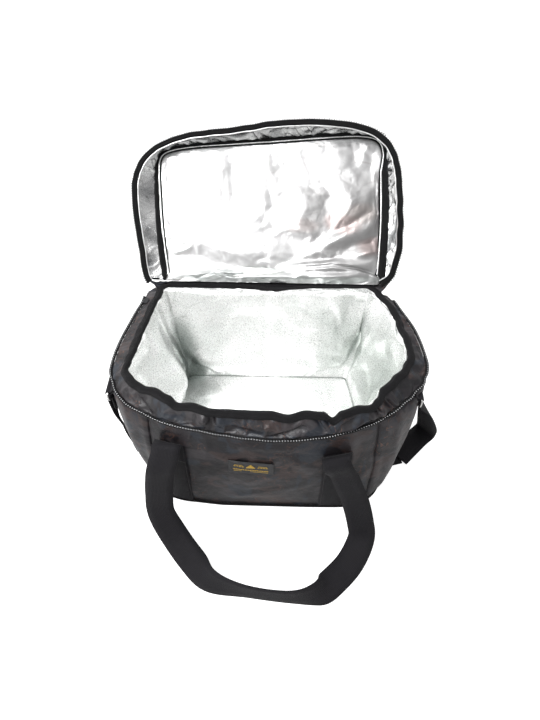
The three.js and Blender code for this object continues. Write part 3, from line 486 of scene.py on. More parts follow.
# places evenly spaced by distance along the outline
def evenPlaces(shape, start, end, count):
    steps = 800
    fine = [mixed(start, end, i / steps) for i in range(steps + 1)]
    length = [0.0]
    for a, b in zip(fine, fine[1:]):
        length.append(length[-1] + (outlinePoint(shape, b) - outlinePoint(shape, a)).length)
    places, k = [], 0
    for i in range(count + 1):
        target = length[-1] * i / count
        while k < steps - 1 and length[k + 1] < target:
            k += 1
        share = (target - length[k]) / max(length[k + 1] - length[k], 1e-9)
        places.append(mixed(fine[k], fine[k + 1], min(share, 1)))
    return places


# a point inside an outline, following its wave where it has one
def insetPoint(shape, spot, inset):
    inset -= waveAt(shape.get("wave", [(0, 0)]), spot)[0]
    return outlinePoint(shape, spot) - outwardAt(shape, spot) * inset


# mesh kit: a grid of points laid over a bmesh grid; UV runs in metres along the rows and across them
def sheetMesh(name, rows, finish, closed=False, thickness=0.0, offset=-1.0):
    across, down = len(rows[0]), len(rows)
    columns = across + 1 if closed else across
    bm = bmesh.new()
    bmesh.ops.create_grid(bm, x_segments=columns - 1, y_segments=down - 1, size=1)
    bm.verts.ensure_lookup_table()
    grid = sorted(bm.verts, key=lambda v: (round(v.co.y, 5), round(v.co.x, 5)))
    lengthAlong = [[0.0] * columns for _ in range(down)]
    lengthDown = [0.0] * down
    for j, row in enumerate(rows):
        for i in range(1, columns):
            lengthAlong[j][i] = lengthAlong[j][i - 1] + (row[i % across] - row[i - 1]).length
        if j:
            lengthDown[j] = lengthDown[j - 1] + (row[across // 2] - rows[j - 1][across // 2]).length
    place = {}
    for k, vert in enumerate(grid):
        j, i = divmod(k, columns)
        vert.co = rows[j][i % across]
        place[vert.index] = (lengthAlong[j][i], lengthDown[j])
    uvLayer = bm.loops.layers.uv.new("UVMap")
    for face in bm.faces:
        face.smooth = True
        for loop in face.loops:
            loop[uvLayer].uv = place[loop.vert.index]
    if closed:
        bmesh.ops.remove_doubles(bm, verts=bm.verts, dist=1e-6)
    return objectFrom(name, bm, finish, thickness, offset)


def objectFrom(name, bm, finish, thickness=0.0, offset=-1.0):
    mesh = bpy.data.meshes.new(name)
    bm.to_mesh(mesh)
    bm.free()
    mesh.materials.append(finishes[finish])
    piece = bpy.data.objects.new(name, mesh)
    scene.collection.objects.link(piece)
    if thickness:
        thicken(piece, thickness, offset)
    return piece


def thicken(piece, thickness, offset):
    solid = piece.modifiers.new("thickness", "SOLIDIFY")
    solid.thickness = thickness
    solid.offset = offset
    solid.use_even_offset = False


# joins doubled points, closes open ends where asked, and turns the faces outwards
def mend(piece, closeEnds=False):
    bm = bmesh.new()
    bm.from_mesh(piece.data)
    if closeEnds:
        bmesh.ops.holes_fill(bm, edges=[e for e in bm.edges if e.is_boundary], sides=0)
    bmesh.ops.remove_doubles(bm, verts=bm.verts, dist=1e-6)
    bmesh.ops.recalc_face_normals(bm, faces=bm.faces)
    for face in bm.faces:
        face.smooth = True
    bm.to_mesh(piece.data)
    bm.free()
    return piece


# applies the live modifiers, so that the mesh is final
def settle(piece):
    graph = bpy.context.evaluated_depsgraph_get()
    mesh = bpy.data.meshes.new_from_object(piece.evaluated_get(graph))
    piece.modifiers.clear()
    piece.data = mesh
    return piece


def rounded(piece):
    sub = piece.modifiers.new("rounding", "SUBSURF")
    sub.levels = 1
    sub.render_levels = 1
    return piece


def fixTo(piece, body, slot, *nodes):
    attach(piece, body)
    if nodes:
        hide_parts(*nodes)
    return piece


def ripple(point, scale, seed=0.0):
    return noise.noise(Vector((point.x * scale + seed, point.y * scale - seed, point.z * scale + 2 * seed)))


def keyOf(point, digits=4):
    return tuple(round(c, digits) for c in point)


# cloth: a copy of the sheet grows a little between its held edges, buckles, and is capped
clothLook = {
    "cloth": {
        "quality": 5, "mass": 0.2, "air_damping": 2,
        "tension_stiffness": 15, "compression_stiffness": 15, "shear_stiffness": 5,
    },
    "slide": 6 * mm,
}


# inward and outward cap how far a point may move along its own normal; "kept" holds the keys of the held points
def crumple(piece, kept, growth, frames, inward, outward, bending):
    mesh = piece.data
    start = [v.co.copy() for v in mesh.vertices]
    normals = [v.normal.copy() for v in mesh.vertices]
    group = piece.vertex_groups.new(name="held")
    group.add([v.index for v in mesh.vertices if keyOf(v.co) in kept], 1.0, "ADD")
    cloth = piece.modifiers.new("cloth", "CLOTH")
    cloth.point_cache.frame_start = 1
    cloth.point_cache.frame_end = frames
    settings = cloth.settings
    settings.vertex_group_mass = "held"
    settings.shrink_min = -growth
    settings.shrink_max = -growth
    for key, value in clothLook["cloth"].items():
        setattr(settings, key, value)
    settings.bending_stiffness = bending
    settings.effector_weights.gravity = 0
    for number in range(1, frames + 1):
        scene.frame_set(number)
    graph = bpy.context.evaluated_depsgraph_get()
    result = piece.evaluated_get(graph).to_mesh()
    moved = [v.co.copy() for v in result.vertices]
    piece.evaluated_get(graph).to_mesh_clear()
    piece.modifiers.remove(cloth)
    piece.vertex_groups.remove(group)
    scene.frame_set(1)
    for v, before, after, normal in zip(mesh.vertices, start, moved, normals):
        step = after - before
        along = step.dot(normal)
        across = step - normal * along
        if across.length > clothLook["slide"]:
            across.length = clothLook["slide"]
        v.co = before + across + normal * min(max(along, -inward), outward)
    return piece


# outer walls: five panels and the collar
wallLook = {
    "wrinkle": 1.3 * mm,
    "wrinkleScale": 20,
    "crease": 1.6 * mm,
    "seamTuck": 1.6 * mm,
    # slanting creases of the front: start x and z, end x and z, width and depth, all in mm
    "creases": [
        (-96, 22, 60, 52, 8, 1.6), (-60, 30, 84, 78, 7, 1.4), (-90, 168, -30, 120, 9, 1.8),
        (30, 160, 80, 100, 9, 1.6), (60, 20, 88, 96, 7, -1.8), (-40, 176, 70, 168, 6, 1.4),
        (128, 40, 168, 112, 9, 2.0), (130, 150, 186, 120, 9, -1.6), (-170, 160, -150, 70, 10, 1.8),
        (-190, 120, -160, 40, 9, -1.8),
    ],
}


# the push of one crease at a point, from its centre line
def strokeDepth(x, y, stroke):
    startX, startY, endX, endY, width, depth = stroke
    length = math.hypot(endX - startX, endY - startY)
    along = ((x - startX) * (endX - startX) + (y - startY) * (endY - startY)) / length ** 2
    near = min(max(along, 0), 1)
    gap = math.hypot(x - startX - (endX - startX) * near, y - startY - (endY - startY) * near)
    fade = math.sin(math.pi * min(max(near, 0.08), 0.92))
    return depth * fade * math.exp(-(gap / width) ** 2)


def panelPoint(place, level, tuck):
    point = wallPoint(place, level)
    normal = outwardAt(bodyShape["seam"], place)
    free = min(level * 6, 1) * min((1 - level) * 8, 1) if level <= 1 else 1
    push = ripple(point, wallLook["wrinkleScale"]) * wallLook["wrinkle"]
    ridge = 1 - abs(ripple(Vector((point.x, point.y, point.z * 0.35)), 14, 3.1)) * 6
    push += max(ridge, 0) * wallLook["crease"]
    if 0.6 < place < 1.4:
        for stroke in wallLook["creases"]:
            push += strokeDepth(point.x / mm, point.z / mm, stroke) * mm
    return point + normal * (push * free - tuck * wallLook["seamTuck"])


def panel(name, start, end, node):
    places = evenPlaces(bodyShape["seam"], start, end, max(int(abs(end - start) * 150), 40))
    rows = []
    for step in range(49):
        row = []
        for i, spot in enumerate(places):
            near = min(i, len(places) - 1 - i)
            row.append(panelPoint(spot, step / 48, max(1 - near / 2.0, 0)))
        rows.append(row)
    piece = sheetMesh(name, rows, "camo", thickness=bodyShape["fabric"], offset=1.0)
    return fixTo(piece, "bag", "fabric", node)


panel("frontPanel", 0.75, 1.25, "front_panel")
panel("rightSidePanel", 0.3, 0.75, "right_side_panel")
panel("leftSidePanel", 1.25, 1.7, "left_side_panel")


def addBackPanel():
    places = evenPlaces(bodyShape["seam"], -0.3, 0.3, 60)
    rows = []
    for step in range(45):
        level = min(step / 44 * 2, 1.985)
        row = []
        for spot in places:
            point = wallPoint(spot, level)
            free = min(level * 5, 1) * min((2 - level) * 6, 1)
            push = ripple(point, 18, 1.7) * 1.6 * mm * free
            row.append(point + outwardAt(bodyShape["seam"], spot) * push)
        rows.append(row)
    piece = sheetMesh("backPanel", rows, "camo", thickness=bodyShape["fabric"], offset=1.0)
    fixTo(piece, "bag", "fabric", "back_panel")


addBackPanel()

collarLook = {
    "puff": 4.6 * mm,
    "wander": 3.0 * mm,
    "sharpness": 1.25,
    "height": 0.09,  # of the strip, in places
    "drop": 1.5 * mm,
    # creases: start place and share of the height, end place and share, width in places, depth in mm
    "folds": [
        (1.128, 1.0, 1.113, 0.45, 0.010, 4.5), (1.110, 1.0, 1.103, 0.3, 0.008, -6.0),
        (1.092, 0.95, 1.085, 0.5, 0.010, 3.0), (1.500, 0.1, 1.440, 0.75, 0.022, -4.5),
        (1.45, 0.0, 1.40, 0.6, 0.016, 4.0), (1.345, 0.6, 1.290, 0.15, 0.014, -4.0),
        (1.305, 0.75, 1.255, 0.3, 0.012, -3.5), (1.28, 0.6, 1.22, 0.5, 0.014, 3.0),
        (1.20, 0.75, 1.15, 0.2, 0.014, -3.0), (1.085, 0.32, 0.985, 0.25, 0.022, -3.5),
        (1.04, 0.7, 0.93, 0.72, 0.020, 2.5), (0.975, 0.05, 0.955, 0.35, 0.010, -5.5),
        (0.955, 0.33, 0.905, 0.52, 0.012, -5.5), (0.965, 0.3, 0.92, 0.15, 0.014, 3.5),
        (0.892, 1.0, 0.876, 0.3, 0.007, -5.0), (0.880, 1.0, 0.866, 0.45, 0.006, 3.5),
        (0.872, 1.0, 0.862, 0.5, 0.006, -4.5), (0.857, 0.95, 0.857, 0.7, 0.010, -4.0),
        (0.857, 0.08, 0.770, 0.55, 0.014, 4.5), (0.85, 0.4, 0.79, 0.75, 0.012, -3.0),
        (0.82, 0.05, 0.765, 0.3, 0.012, -4.5), (0.758, 1.0, 0.748, 0.4, 0.008, -7.0),
        (0.742, 0.95, 0.735, 0.15, 0.009, 5.0), (0.722, 0.85, 0.700, 0.0, 0.009, -5.5),
        (0.705, 1.0, 0.680, 0.1, 0.010, 4.0), (0.66, 0.8, 0.63, 0.1, 0.012, -3.0),
        (0.585, 1.0, 0.500, 0.1, 0.014, -6.0), (0.60, 0.8, 0.55, 0.1, 0.012, 4.0),
        (0.46, 0.9, 0.43, 0.2, 0.014, -4.0), (0.40, 0.9, 0.36, 0.3, 0.012, 3.5), (1.55, 0.9, 1.50, 0.3, 0.014, 4.0),
        (1.60, 0.9, 1.58, 0.2, 0.010, -3.0), (1.64, 0.9, 1.62, 0.2, 0.010, 3.0),
    ],
}


def collarPoint(spot, share):
    level = 1 + 0.02 + share * 0.97
    point = wallPoint(spot, level)
    normal = outwardAt(bodyShape["seam"], spot)
    arch = math.sin(share * math.pi) ** 0.8
    fold = noise.noise(Vector((spot * 14, share * 0.8 + spot, 4.0)))
    push = arch * (collarLook["puff"] + fold * collarLook["wander"])
    tall = collarLook["height"]
    for startX, startY, endX, endY, width, depth in collarLook["folds"]:
        if abs(spot - (startX + endX) / 2) < 0.12:
            stroke = (startX, startY * tall, endX, endY * tall, width, depth)
            push += collarLook["sharpness"] * strokeDepth(spot, share * tall, stroke) * mm * min(share * 8, 1)
    return point + normal * push + Vector((0, 0, -arch * collarLook["drop"] * (1 + fold)))


def addCollar():
    places = evenPlaces(bodyShape["seam"], 0.3, 1.7, 420)
    rows = [[collarPoint(spot, i / 22) for spot in places] for i in range(23)]
    piece = sheetMesh("collarPanel", rows, "glossyCamo")
    crumple(piece, {keyOf(point) for row in (rows[0], rows[-1]) for point in row}, 0.035, 12, 0.003, 0.003, 0.3)
    thicken(piece, bodyShape["fabric"], 1.0)
    fixTo(piece, "bag", "fabric", "collar")
    sinking(piece)


# the plane of the zip line; sinking only applies a piece's modifiers and gives it its own mesh
seamTilt = {"axis": (0, -0.0949, 0.9955), "anchor": (0, -0.1338, 0.195), "keep": 0.08}


def sinking(piece):
    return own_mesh(settle(piece))


# what lies above the zip plane becomes a piece of its own, with the same shading along the cut
def splitAtSeam(piece, name):
    axis, anchor = Vector(seamTilt["axis"]), Vector(seamTilt["anchor"])
    normals = {keyOf(v.co, 6): v.normal.copy() for v in piece.data.vertices}
    upper = piece.copy()
    upper.data = piece.data.copy()
    upper.name = name
    scene.collection.objects.link(upper)
    for part, sign in ((piece, 1), (upper, -1)):
        bm = bmesh.new()
        bm.from_mesh(part.data)
        away = [f for f in bm.faces if (f.calc_center_median() - anchor).dot(axis) * sign > 0]
        bmesh.ops.delete(bm, geom=away, context="FACES")
        bm.to_mesh(part.data)
        bm.free()
        part.data.normals_split_custom_set_from_vertices([normals[keyOf(v.co, 6)] for v in part.data.vertices])
    return upper


addCollar()


def plateMesh(name, inset, low, high, finish):
    shape = bodyShape["base"]
    outline = [insetPoint(shape, spot, inset) for spot in evenPlaces(shape, 0, 2, 120)[:-1]]
    middle = Vector((0, 0, 0))
    for point in outline:
        middle += point / len(outline)
    rows = []
    for share, z in ((0.02, low), (0.5, low), (1, low), (1, high), (0.66, high), (0.33, high), (0.02, high)):
        row = [middle.lerp(point, share) for point in outline]
        rows.append([Vector((point.x, point.y, z)) for point in row])
    return mend(sheetMesh(name, rows, finish, closed=True), closeEnds=True)


fixTo(plateMesh("basePanel", 1.5 * mm, 0.0, 1.2 * mm, "camo"), "bag", "fabric", "base_panel")
fixTo(plateMesh("baseFoam", 17 * mm, 1.6 * mm, 9.4 * mm, "foam"), "bag", "foam", "foam_base")


foamLook = {"inset": 3.6 * mm, "mouthInset": 3.6 * mm, "lap": 2.2 * mm, "gap": 1.4 * mm, "sag": 0.3}


# the foam between the cover and the lining, from the first level to the last
def addFoamRing(name, levels, *nodes):
    places = evenPlaces(bodyShape["seam"], 0, 2, 160)[:-1]
    rows = []
    for level in levels:
        inset = foamLook["inset"] + foamLook["mouthInset"] * min(max(level - 0.85, 0) * 4, 1)
        rows.append([wallPoint(spot, level, inset, sag=foamLook["sag"]) for spot in places])
    for level in reversed(levels):
        inner = mixed(bodyShape["thickness"], bodyShape["rimThickness"] + foamLook["lap"], max(level - 1, 0))
        rows.append([wallPoint(spot, level, inner - foamLook["gap"], sag=0) for spot in places])
    rows.append(rows[0])
    piece = mend(sheetMesh(name, rows, "foam", closed=True))
    fixTo(piece, "bag", "foam", *nodes)
    return piece


addFoamRing("wallFoam", [0.012, 0.3, 0.6, 0.85, 0.985], "foam_front", "foam_back", "foam_left", "foam_right")
sinking(addFoamRing("collarFoam", [1.0, 1.1, 1.4, 1.7]))
print("outer walls done")

# silver lining of the walls and the floor
rimLook = {"outside": 3.2, "inside": 4.8, "skin": 0.8 * mm, "depth": 4.4 * mm, "backDepth": 2.4 * mm, "sag": 6.5 * mm}


# how thick the bound edge looks; thinner at the back, where the lid is sewn on
def rimDepth(spot):
    away = min(abs(spot % 2), 2 - spot % 2)
    sag = rimLook["sag"] * math.exp(-(away / 0.035) ** 2)
    return sag + mixed(rimLook["backDepth"], rimLook["depth"], min(max((away - 0.2) / 0.12, 0), 1))


liningLook = {
    "crumple": 1.6 * mm,
    "facet": 9 * mm,
    "floorZ": 0.0112,
    "floorInset": 0.0208,
    # loose billows: place, level, width along, width up, inward reach in mm
    "billows": [
        (1.585, 0.55, 0.055, 0.42, 40), (1.47, 0.95, 0.05, 0.28, 8), (1.53, 0.3, 0.05, 0.25, 8),
        (1.40, 0.6, 0.03, 0.3, 7), (0.42, 0.95, 0.04, 0.30, 14), (0.50, 1.25, 0.04, 0.25, 9),
        (0.34, 0.5, 0.04, 0.4, 12), (0.60, 0.6, 0.05, 0.4, 10), (0.53, 0.8, 0.03, 0.3, 8), (0.46, 0.5, 0.03, 0.3, 8),
        (0.12, 1.0, 0.07, 0.6, 4), (1.9, 1.0, 0.07, 0.6, 4), (0.26, 1.2, 0.03, 0.4, 8), (1.72, 0.8, 0.02, 0.5, 4),
    ],
    "centreCrease": (-4 * mm, 9 * mm, 3.2 * mm),
}


def liningPoint(spot, level):
    inner = mixed(bodyShape["thickness"], rimDepth(spot), min(max(level - 1, 0), 1) ** 1.5) + 0.0008
    inner += 0.011 * max(1 - level, 0)
    point = wallPoint(spot, level, inner, liningLook["floorZ"], 0)
    inward = -outwardAt(bodyShape["seam"], spot)
    free = min(level * 5, 1) * min((2 - level) * 4, 1)
    push = liningLook["crumple"] * (1 + 1.5 * ripple(point, 18, 2.2))
    side = min(max((abs(point.x) - 0.11) / 0.05, 0), 1)
    push += (1 + side) * liningLook["facet"] * abs(ripple(point, 13, 5.5))
    for centre, height, wide, tall, reach in liningLook["billows"]:
        push += reach * mm * math.exp(-((spot - centre) / wide) ** 2 - ((level - height) / tall) ** 2)
    middle, wide, deep = liningLook["centreCrease"]
    if point.y > 0.08:
        push += deep * (1 - math.exp(-((point.x - middle) / wide) ** 2))
    return point + inward * push * free


def addLining():
    places = evenPlaces(bodyShape["seam"], 0, 2, 300)[:-1]
    rows = [[liningPoint(spot, i / 50 * 1.985) for spot in places] for i in range(51)]
    piece = sheetMesh("liningWalls", rows, "foil", closed=True)
    corner = mend(piece).data.vertices[0]
    if corner.normal.dot(Vector((corner.co.x, corner.co.y, 0))) < 0:
        piece.data.flip_normals()
    crumple(piece, {keyOf(point) for row in rows[:2] + rows[-2:] for point in row}, 0.05, 16, 0.016, 0.0012, 0.6)
    rounded(piece)
    upper = splitAtSeam(settle(piece), "liningMouth")
    fixTo(piece, "bag", "silver", "liner_walls")
    sinking(fixTo(upper, "bag", "silver"))
    outline = evenPlaces(bodyShape["base"], 0, 2, 200)[:-1]
    rows = []
    for j in range(33):
        share = j / 32
        row = []
        for spot in outline:
            point = insetPoint(bodyShape["base"], spot, liningLook["floorInset"]) * share
            point += Vector((0, -0.01, 0)) * (1 - share)
            lift = (1 - share ** 6) * (1.0 + ripple(point, 14, 4.4) * 1.6) * mm
            row.append(Vector((point.x, point.y, liningLook["floorZ"] + max(lift, 0))))
        rows.append(row)
    floor = sheetMesh("liningFloor", rows, "foil", closed=True, thickness=0.0005, offset=-1.0)
    fixTo(floor, "bag", "silver", "liner_floor")


addLining()

# ribbed binding over the rim; each profile point: outset in metres, share of the depth inwards, rise in mm
bindingProfile = [
    (0.0030, 0, -1.0), (0.0034, 0, -0.7), (0.0032, 0, -0.3), (0.0022, 0, 0.6), (0.0006, 0.3, 1.7), (0, 0.5, 2.0),
    (-0.0002, 0.8, 1.6), (-0.0010, 1, 0.4), (-0.0018, 1, -0.4), (-0.0016, 1, -1.0),
]


def bindingPoint(spot, start, share, rise):
    outset = start - share * rimDepth(spot)
    sag = noise.noise(Vector((spot * 9, 2.0, 7.7)))
    if rise < 0:
        leg = rimLook["outside"]
        if outset <= 0:
            leg = rimLook["inside"] * (0.8 + 0.6 * sag) * rimDepth(spot) / rimLook["depth"]
        point = wallPoint(spot, 2 + rise * leg / 26, -outset)
    else:
        point = wallPoint(spot, 2, -outset)
        point.z += rise * mm
    lump = noise.noise(Vector((spot * 50, outset * 260, 1.5)))
    return point + outwardAt(bodyShape["rim"], spot) * lump * 1.0 * mm + Vector((0, 0, lump * 0.8 * mm))


def addBinding():
    places = evenPlaces(bodyShape["rim"], 0, 2, 520)[:-1]
    rows = [[bindingPoint(spot, *stop) for spot in places] for stop in bindingProfile]
    piece = sheetMesh("rimBinding", rows, "binding", closed=True, thickness=rimLook["skin"], offset=-1.0)
    fixTo(piece, "bag", "trim", "rim_binding")
    sinking(piece)


pipingLook = {"outset": 2.1 * mm, "radius": 1.8 * mm}


def addPiping():
    places = evenPlaces(bodyShape["base"], 0, 2, 240)[:-1]
    radius = pipingLook["radius"]
    rows = []
    for i in range(11):
        angle = 2 * math.pi * i / 10
        row = [insetPoint(bodyShape["base"], spot, -pipingLook["outset"] - radius * math.cos(angle)) for spot in places]
        rows.append([Vector((point.x, point.y, radius * (1 + math.sin(angle)))) for point in row])
    fixTo(mend(sheetMesh("basePiping", rows, "binding", closed=True)), "bag", "trim", "base_piping")


addBinding()
addPiping()
print("lining, binding and piping done")

# zips: the tape, and a chain of separate teeth
zipLook = {
    "tapeStart": 0.4 * mm,
    "tapeEnd": 5.4 * mm,
    "tapeThick": 0.8 * mm,
    "pitch": 3.8 * mm,
    "taper": 0.72,
    "tooth": (1.5 * mm, 2.4 * mm, 2.0 * mm),
    "bodyTooth": (1.3 * mm, 1.5 * mm, 1.3 * mm),
    "teethMiddle": 3.9 * mm,
    "lidTapeEnd": 6.0 * mm,
    "lidTeethMiddle": 7.2 * mm,
}


# one small block at each centre, tapered outwards; centres are (point, along, across)
def chain(name, centres, size, finish):
    bm = bmesh.new()
    for point, along, across in centres:
        turn = Matrix((along, across, along.cross(across).normalized())).transposed().to_4x4()
        turn.translation = point
        made = bmesh.ops.create_cube(bm, size=1, matrix=turn @ Matrix.Diagonal((*size, 1)))
        for v in made["verts"]:
            local = turn.inverted() @ v.co
            if local.y > 0:
                v.co = turn @ Vector((local.x * zipLook["taper"], local.y, local.z * zipLook["taper"]))
    return objectFrom(name, bm, finish)


# walks a chain of points and gives a point and direction at each pitch
def spacedAlong(points, pitch):
    out, carried = [], pitch / 2
    for a, b in zip(points, points[1:]):
        length = (b - a).length
        direction = (b - a).normalized()
        while carried < length:
            out.append((a + direction * carried, direction))
            carried += pitch
        carried -= length
    return out


def addBodyZip():
    places = evenPlaces(bodyShape["seam"], 0.315, 1.685, 300)
    start, end = zipLook["tapeStart"], zipLook["tapeEnd"]
    low = Vector((0, 0, -0.4 * mm))
    rows = [[wallPoint(spot, 1, -outset) + low for spot in places] for outset in (start, mixed(start, end, 0.5), end)]
    piece = sheetMesh("bodyZipTape", rows, "zipTape", thickness=zipLook["tapeThick"], offset=1.0)
    fixTo(piece, "bag", "zip", "body_zip_tape")
    line = [wallPoint(spot, 1, -zipLook["teethMiddle"]) for spot in places]
    centres = []
    for point, along in spacedAlong(line, zipLook["pitch"]):
        across = along.cross(Vector((0, 0, 1))).normalized()
        if across.dot(Vector((point.x, point.y + 0.02, 0))) < 0:
            across.negate()
        centres.append((point, along, across))
    # the body's teeth take the lighter copy: painted glints
    teeth = chain("bodyZipTeeth", centres, zipLook["bodyTooth"], "glintPaintedTeeth")
    fixTo(teeth, "bag", "zip", "body_zip_teeth")


addBodyZip()

# lid, built shut about its hinge line and turned open
lidLook = {
    "hinge": Vector((0, 0.122, 0.230)),
    "open": 140,
    "outline": {
        "backHalf": 0.178, "half": 0.186, "wideY": -0.010, "backY": 0.120,
        "frontY": -0.108, "power": 7.5, "radius": 0.010,
    },
    "seam": {
        "backHalf": 0.186, "half": 0.2045, "wideY": -0.030, "backY": 0.1185,
        "frontY": -0.120, "power": 2.6, "radius": 0.024,
        # how the soft zip edge wanders: place round the outline, outwards in mm
        "wave": [
            (0, 0), (0.2, 2), (0.25, 6), (0.3, 11.5), (0.35, 12), (0.4, 6.2), (0.45, -0.4), (0.5, -5), (0.55, -6.5),
            (0.6, -7), (0.65, -4.7), (0.7, -1.4), (0.75, 1), (0.8, 0.4), (0.85, -1), (0.9, -1.5), (0.95, -2.6),
            (1.0, -4), (1.05, -8), (1.1, -10), (1.15, -8.2), (1.2, -5), (1.25, -3.3), (1.3, -1.6), (1.4, 0),
            (1.45, 2), (1.5, 4.3), (1.6, 5.5), (1.65, 6.8), (1.7, 10), (1.75, 14), (1.8, 4),
        ],
    },
    "seamRise": 7 * mm,
    "rearRise": (0.050, 0.068, 2.8 * mm),
    "bottom": 2 * mm,
    "top": 10.3 * mm,
    "crown": 5.0 * mm,
    "depth": 0.23,
    "lean": 9 * mm,
    "skew": 0.042,
    "gussetBulge": 3.5 * mm,
    # the edge of the loose fold by the hinge: x and distance from the hinge in mm
    "hingeFold": [
        (-150, 3), (-124, 5), (-94, 14), (-62, 10), (-24, 14), (26, 22), (94, 28), (130, 24), (160, 16), (178, 12),
    ],
    "frameSkew": 0.028,
    "zipEnds": (0.245, 1.745),
    "bandEnds": (0.235, 1.765),
    # width of the black band at places round the frame, in mm
    "bandWidth": [
        (0.0, 10), (0.25, 11), (0.62, 11), (0.68, 6), (0.75, 4.6), (1.0, 5.5), (1.25, 4.6), (1.32, 6), (1.4, 6.2),
        (1.75, 9), (2.0, 10),
    ],
    # soft folds of the lining: start x and distance from the hinge, end x and distance, width, depth, all in mm
    "folds": [
        (-170, 9, -50, 15, 6, 7.0), (-70, 22, 60, 14, 5, -3.0), (-50, 8, 50, 10, 5, 6.5), (0, 26, 178, 32, 7, 6.5),
        (40, 10, 160, 13, 6, 7.0), (120, 40, 184, 58, 6, 3.5), (100, 52, 184, 78, 7, -3.5),
        (60, 60, 184, 96, 9, 2.0), (-150, 70, -60, 60, 9, 1.6), (-100, 48, 10, 92, 14, 1.3),
        (-50, 66, 30, 100, 7, -1.0), (30, 90, 70, 150, 14, 1.0), (90, 120, 180, 150, 16, 1.0),
        (120, 170, 150, 210, 10, -1.5), (-178, 40, -120, 58, 5, 2.2), (-178, 62, -140, 74, 5, -2.0),
    ],
}
lidTurn = Matrix.Translation(lidLook["hinge"]) @ Matrix.Rotation(math.radians(-lidLook["open"]), 4, "X")


# a point of the shut lid, leaned a little to one side as the soft panel does, and turned to its open place
def opened(x, y, z, frameShare=0.0):
    hinge = lidLook["hinge"]
    away = hinge.y - y
    far = min(max(away / lidLook["depth"], 0), 1)
    sideways = frameShare * (1 - far) * lidLook["lean"]
    skew = (lidLook["skew"] + lidLook["frameSkew"] * frameShare) * x / lidLook["outline"]["half"] * far
    return lidTurn @ Vector((x + sideways, -away * (1 + skew), z - hinge.z))


def lidSeamHeight(y):
    start, reach, rise = lidLook["rearRise"]
    rear = max((y - start) / reach, 0)
    return seamHeight(y) + lidLook["seamRise"] + rise * rear * rear


# one ring of a lid sheet; share 0 is the middle and 1 the frame's outline
def lidRing(share, inset, rise, crown, dimple=0.0):
    shape = lidLook["outline"]
    row = []
    for spot in evenPlaces(shape, 0, 2, 260)[:-1]:
        edge = insetPoint(shape, spot, inset)
        point = Vector((edge.x * share, mixed(0.006, edge.y, share), lidLook["hinge"].z + rise))
        point.z += crown * (1 - share ** 4) + ripple(point, 15, 7.7) * dimple * (1 - share ** 8)
        row.append(opened(*point, 1.0))
    return row


def addLidPads():
    crown = lidLook["crown"] * 0.5
    rows = [lidRing(i / 24, 0, lidLook["top"], crown, 1.2 * mm) for i in range(25)]
    panelSheet = sheetMesh("lidPanel", rows, "camo", closed=True, thickness=0.8 * mm, offset=-1.0)
    fixTo(panelSheet, "lid", "fabric", "lid_panel")
    rows = [lidRing(i / 6, 0.003, 3.2 * mm, 0) for i in range(7)]
    rows += [lidRing(1 - i / 12, 0.003, lidLook["top"] - 1.6 * mm, crown * 0.8) for i in range(13)]
    foam = mend(sheetMesh("lidFoam", rows, "foam", closed=True), closeEnds=True)
    fixTo(foam, "lid", "foam", "lid_foam")


# the loose fold along the hinge, with a narrow valley behind its edge
def foldDepth(x, away):
    line = lidLook["hingeFold"]
    for (startX, startAway), (endX, endAway) in zip(line, line[1:]):
        if startX <= x <= endX:
            gap = mixed(startAway, endAway, (x - startX) / (endX - startX)) - away
            return 4.5 * min(max(gap / 2.5, 0), 1) - 3.0 * math.exp(-((gap + 1.5) / 2) ** 2)
    return 0


lidLiningLook = {"half": 0.183, "low": 0.6 * mm, "high": 0.2265, "margin": 12 * mm}


def lidLiningPoint(x, away):
    push = ripple(Vector((x, away, 0)), 15, 6.1) * 1.5
    for stroke in lidLook["folds"]:
        push += strokeDepth(x / mm, away / mm, stroke)
    push += foldDepth(x / mm, away / mm)
    side = min(max((lidLiningLook["half"] - abs(x) - 9 * mm) / lidLiningLook["margin"], 0), 1)
    end = min(max((lidLiningLook["high"] - away - 6 * mm) / lidLiningLook["margin"], 0), 1)
    free = side * end * min(0.35 + away / 0.01, 1)
    z = lidLook["hinge"].z + lidLook["bottom"] - (0.4 + max(push + 1.5, -1)) * mm * free
    return opened(x, lidLook["hinge"].y - away, z, 1.0)


def addLidLining():
    half, low, high = lidLiningLook["half"], lidLiningLook["low"], lidLiningLook["high"]
    rows = []
    for j in range(81):
        away = mixed(low, high, (j / 80) ** 1.4)
        rows.append([lidLiningPoint(mixed(-half, half, i / 90), away) for i in range(91)])
    piece = sheetMesh("lidLining", rows, "shadedLidFoil")
    kept = {keyOf(point) for row in rows for point in row[:4] + row[-4:]}
    kept |= {keyOf(point) for row in rows[:1] + rows[-4:] for point in row}
    crumple(piece, kept, 0.012, 14, 0.003, 0.003, 0.5)
    fixTo(rounded(piece), "lid", "silver", "lid_lining")


def framePoint(spot, inset, rise):
    point = insetPoint(lidLook["outline"], spot, inset)
    return opened(point.x, point.y, lidLook["hinge"].z + lidLook["bottom"] + rise, 1.0)


def widthAt(stops, place):
    for (start, low), (end, high) in zip(stops, stops[1:]):
        if start <= place <= end:
            return mixed(low, high, (place - start) / (end - start)) * mm
    return stops[-1][1] * mm


def tube(name, points, radius, finish):
    rows = []
    for i in range(9):
        angle = 2 * math.pi * i / 8
        row = []
        for k, point in enumerate(points):
            along = (points[min(k + 1, len(points) - 1)] - points[max(k - 1, 0)]).normalized()
            side = along.cross(Vector((0, 0.3, 1))).normalized()
            row.append(point + (side * math.cos(angle) + along.cross(side) * math.sin(angle)) * radius)
        rows.append(row)
    return mend(sheetMesh(name, rows, finish), closeEnds=True)


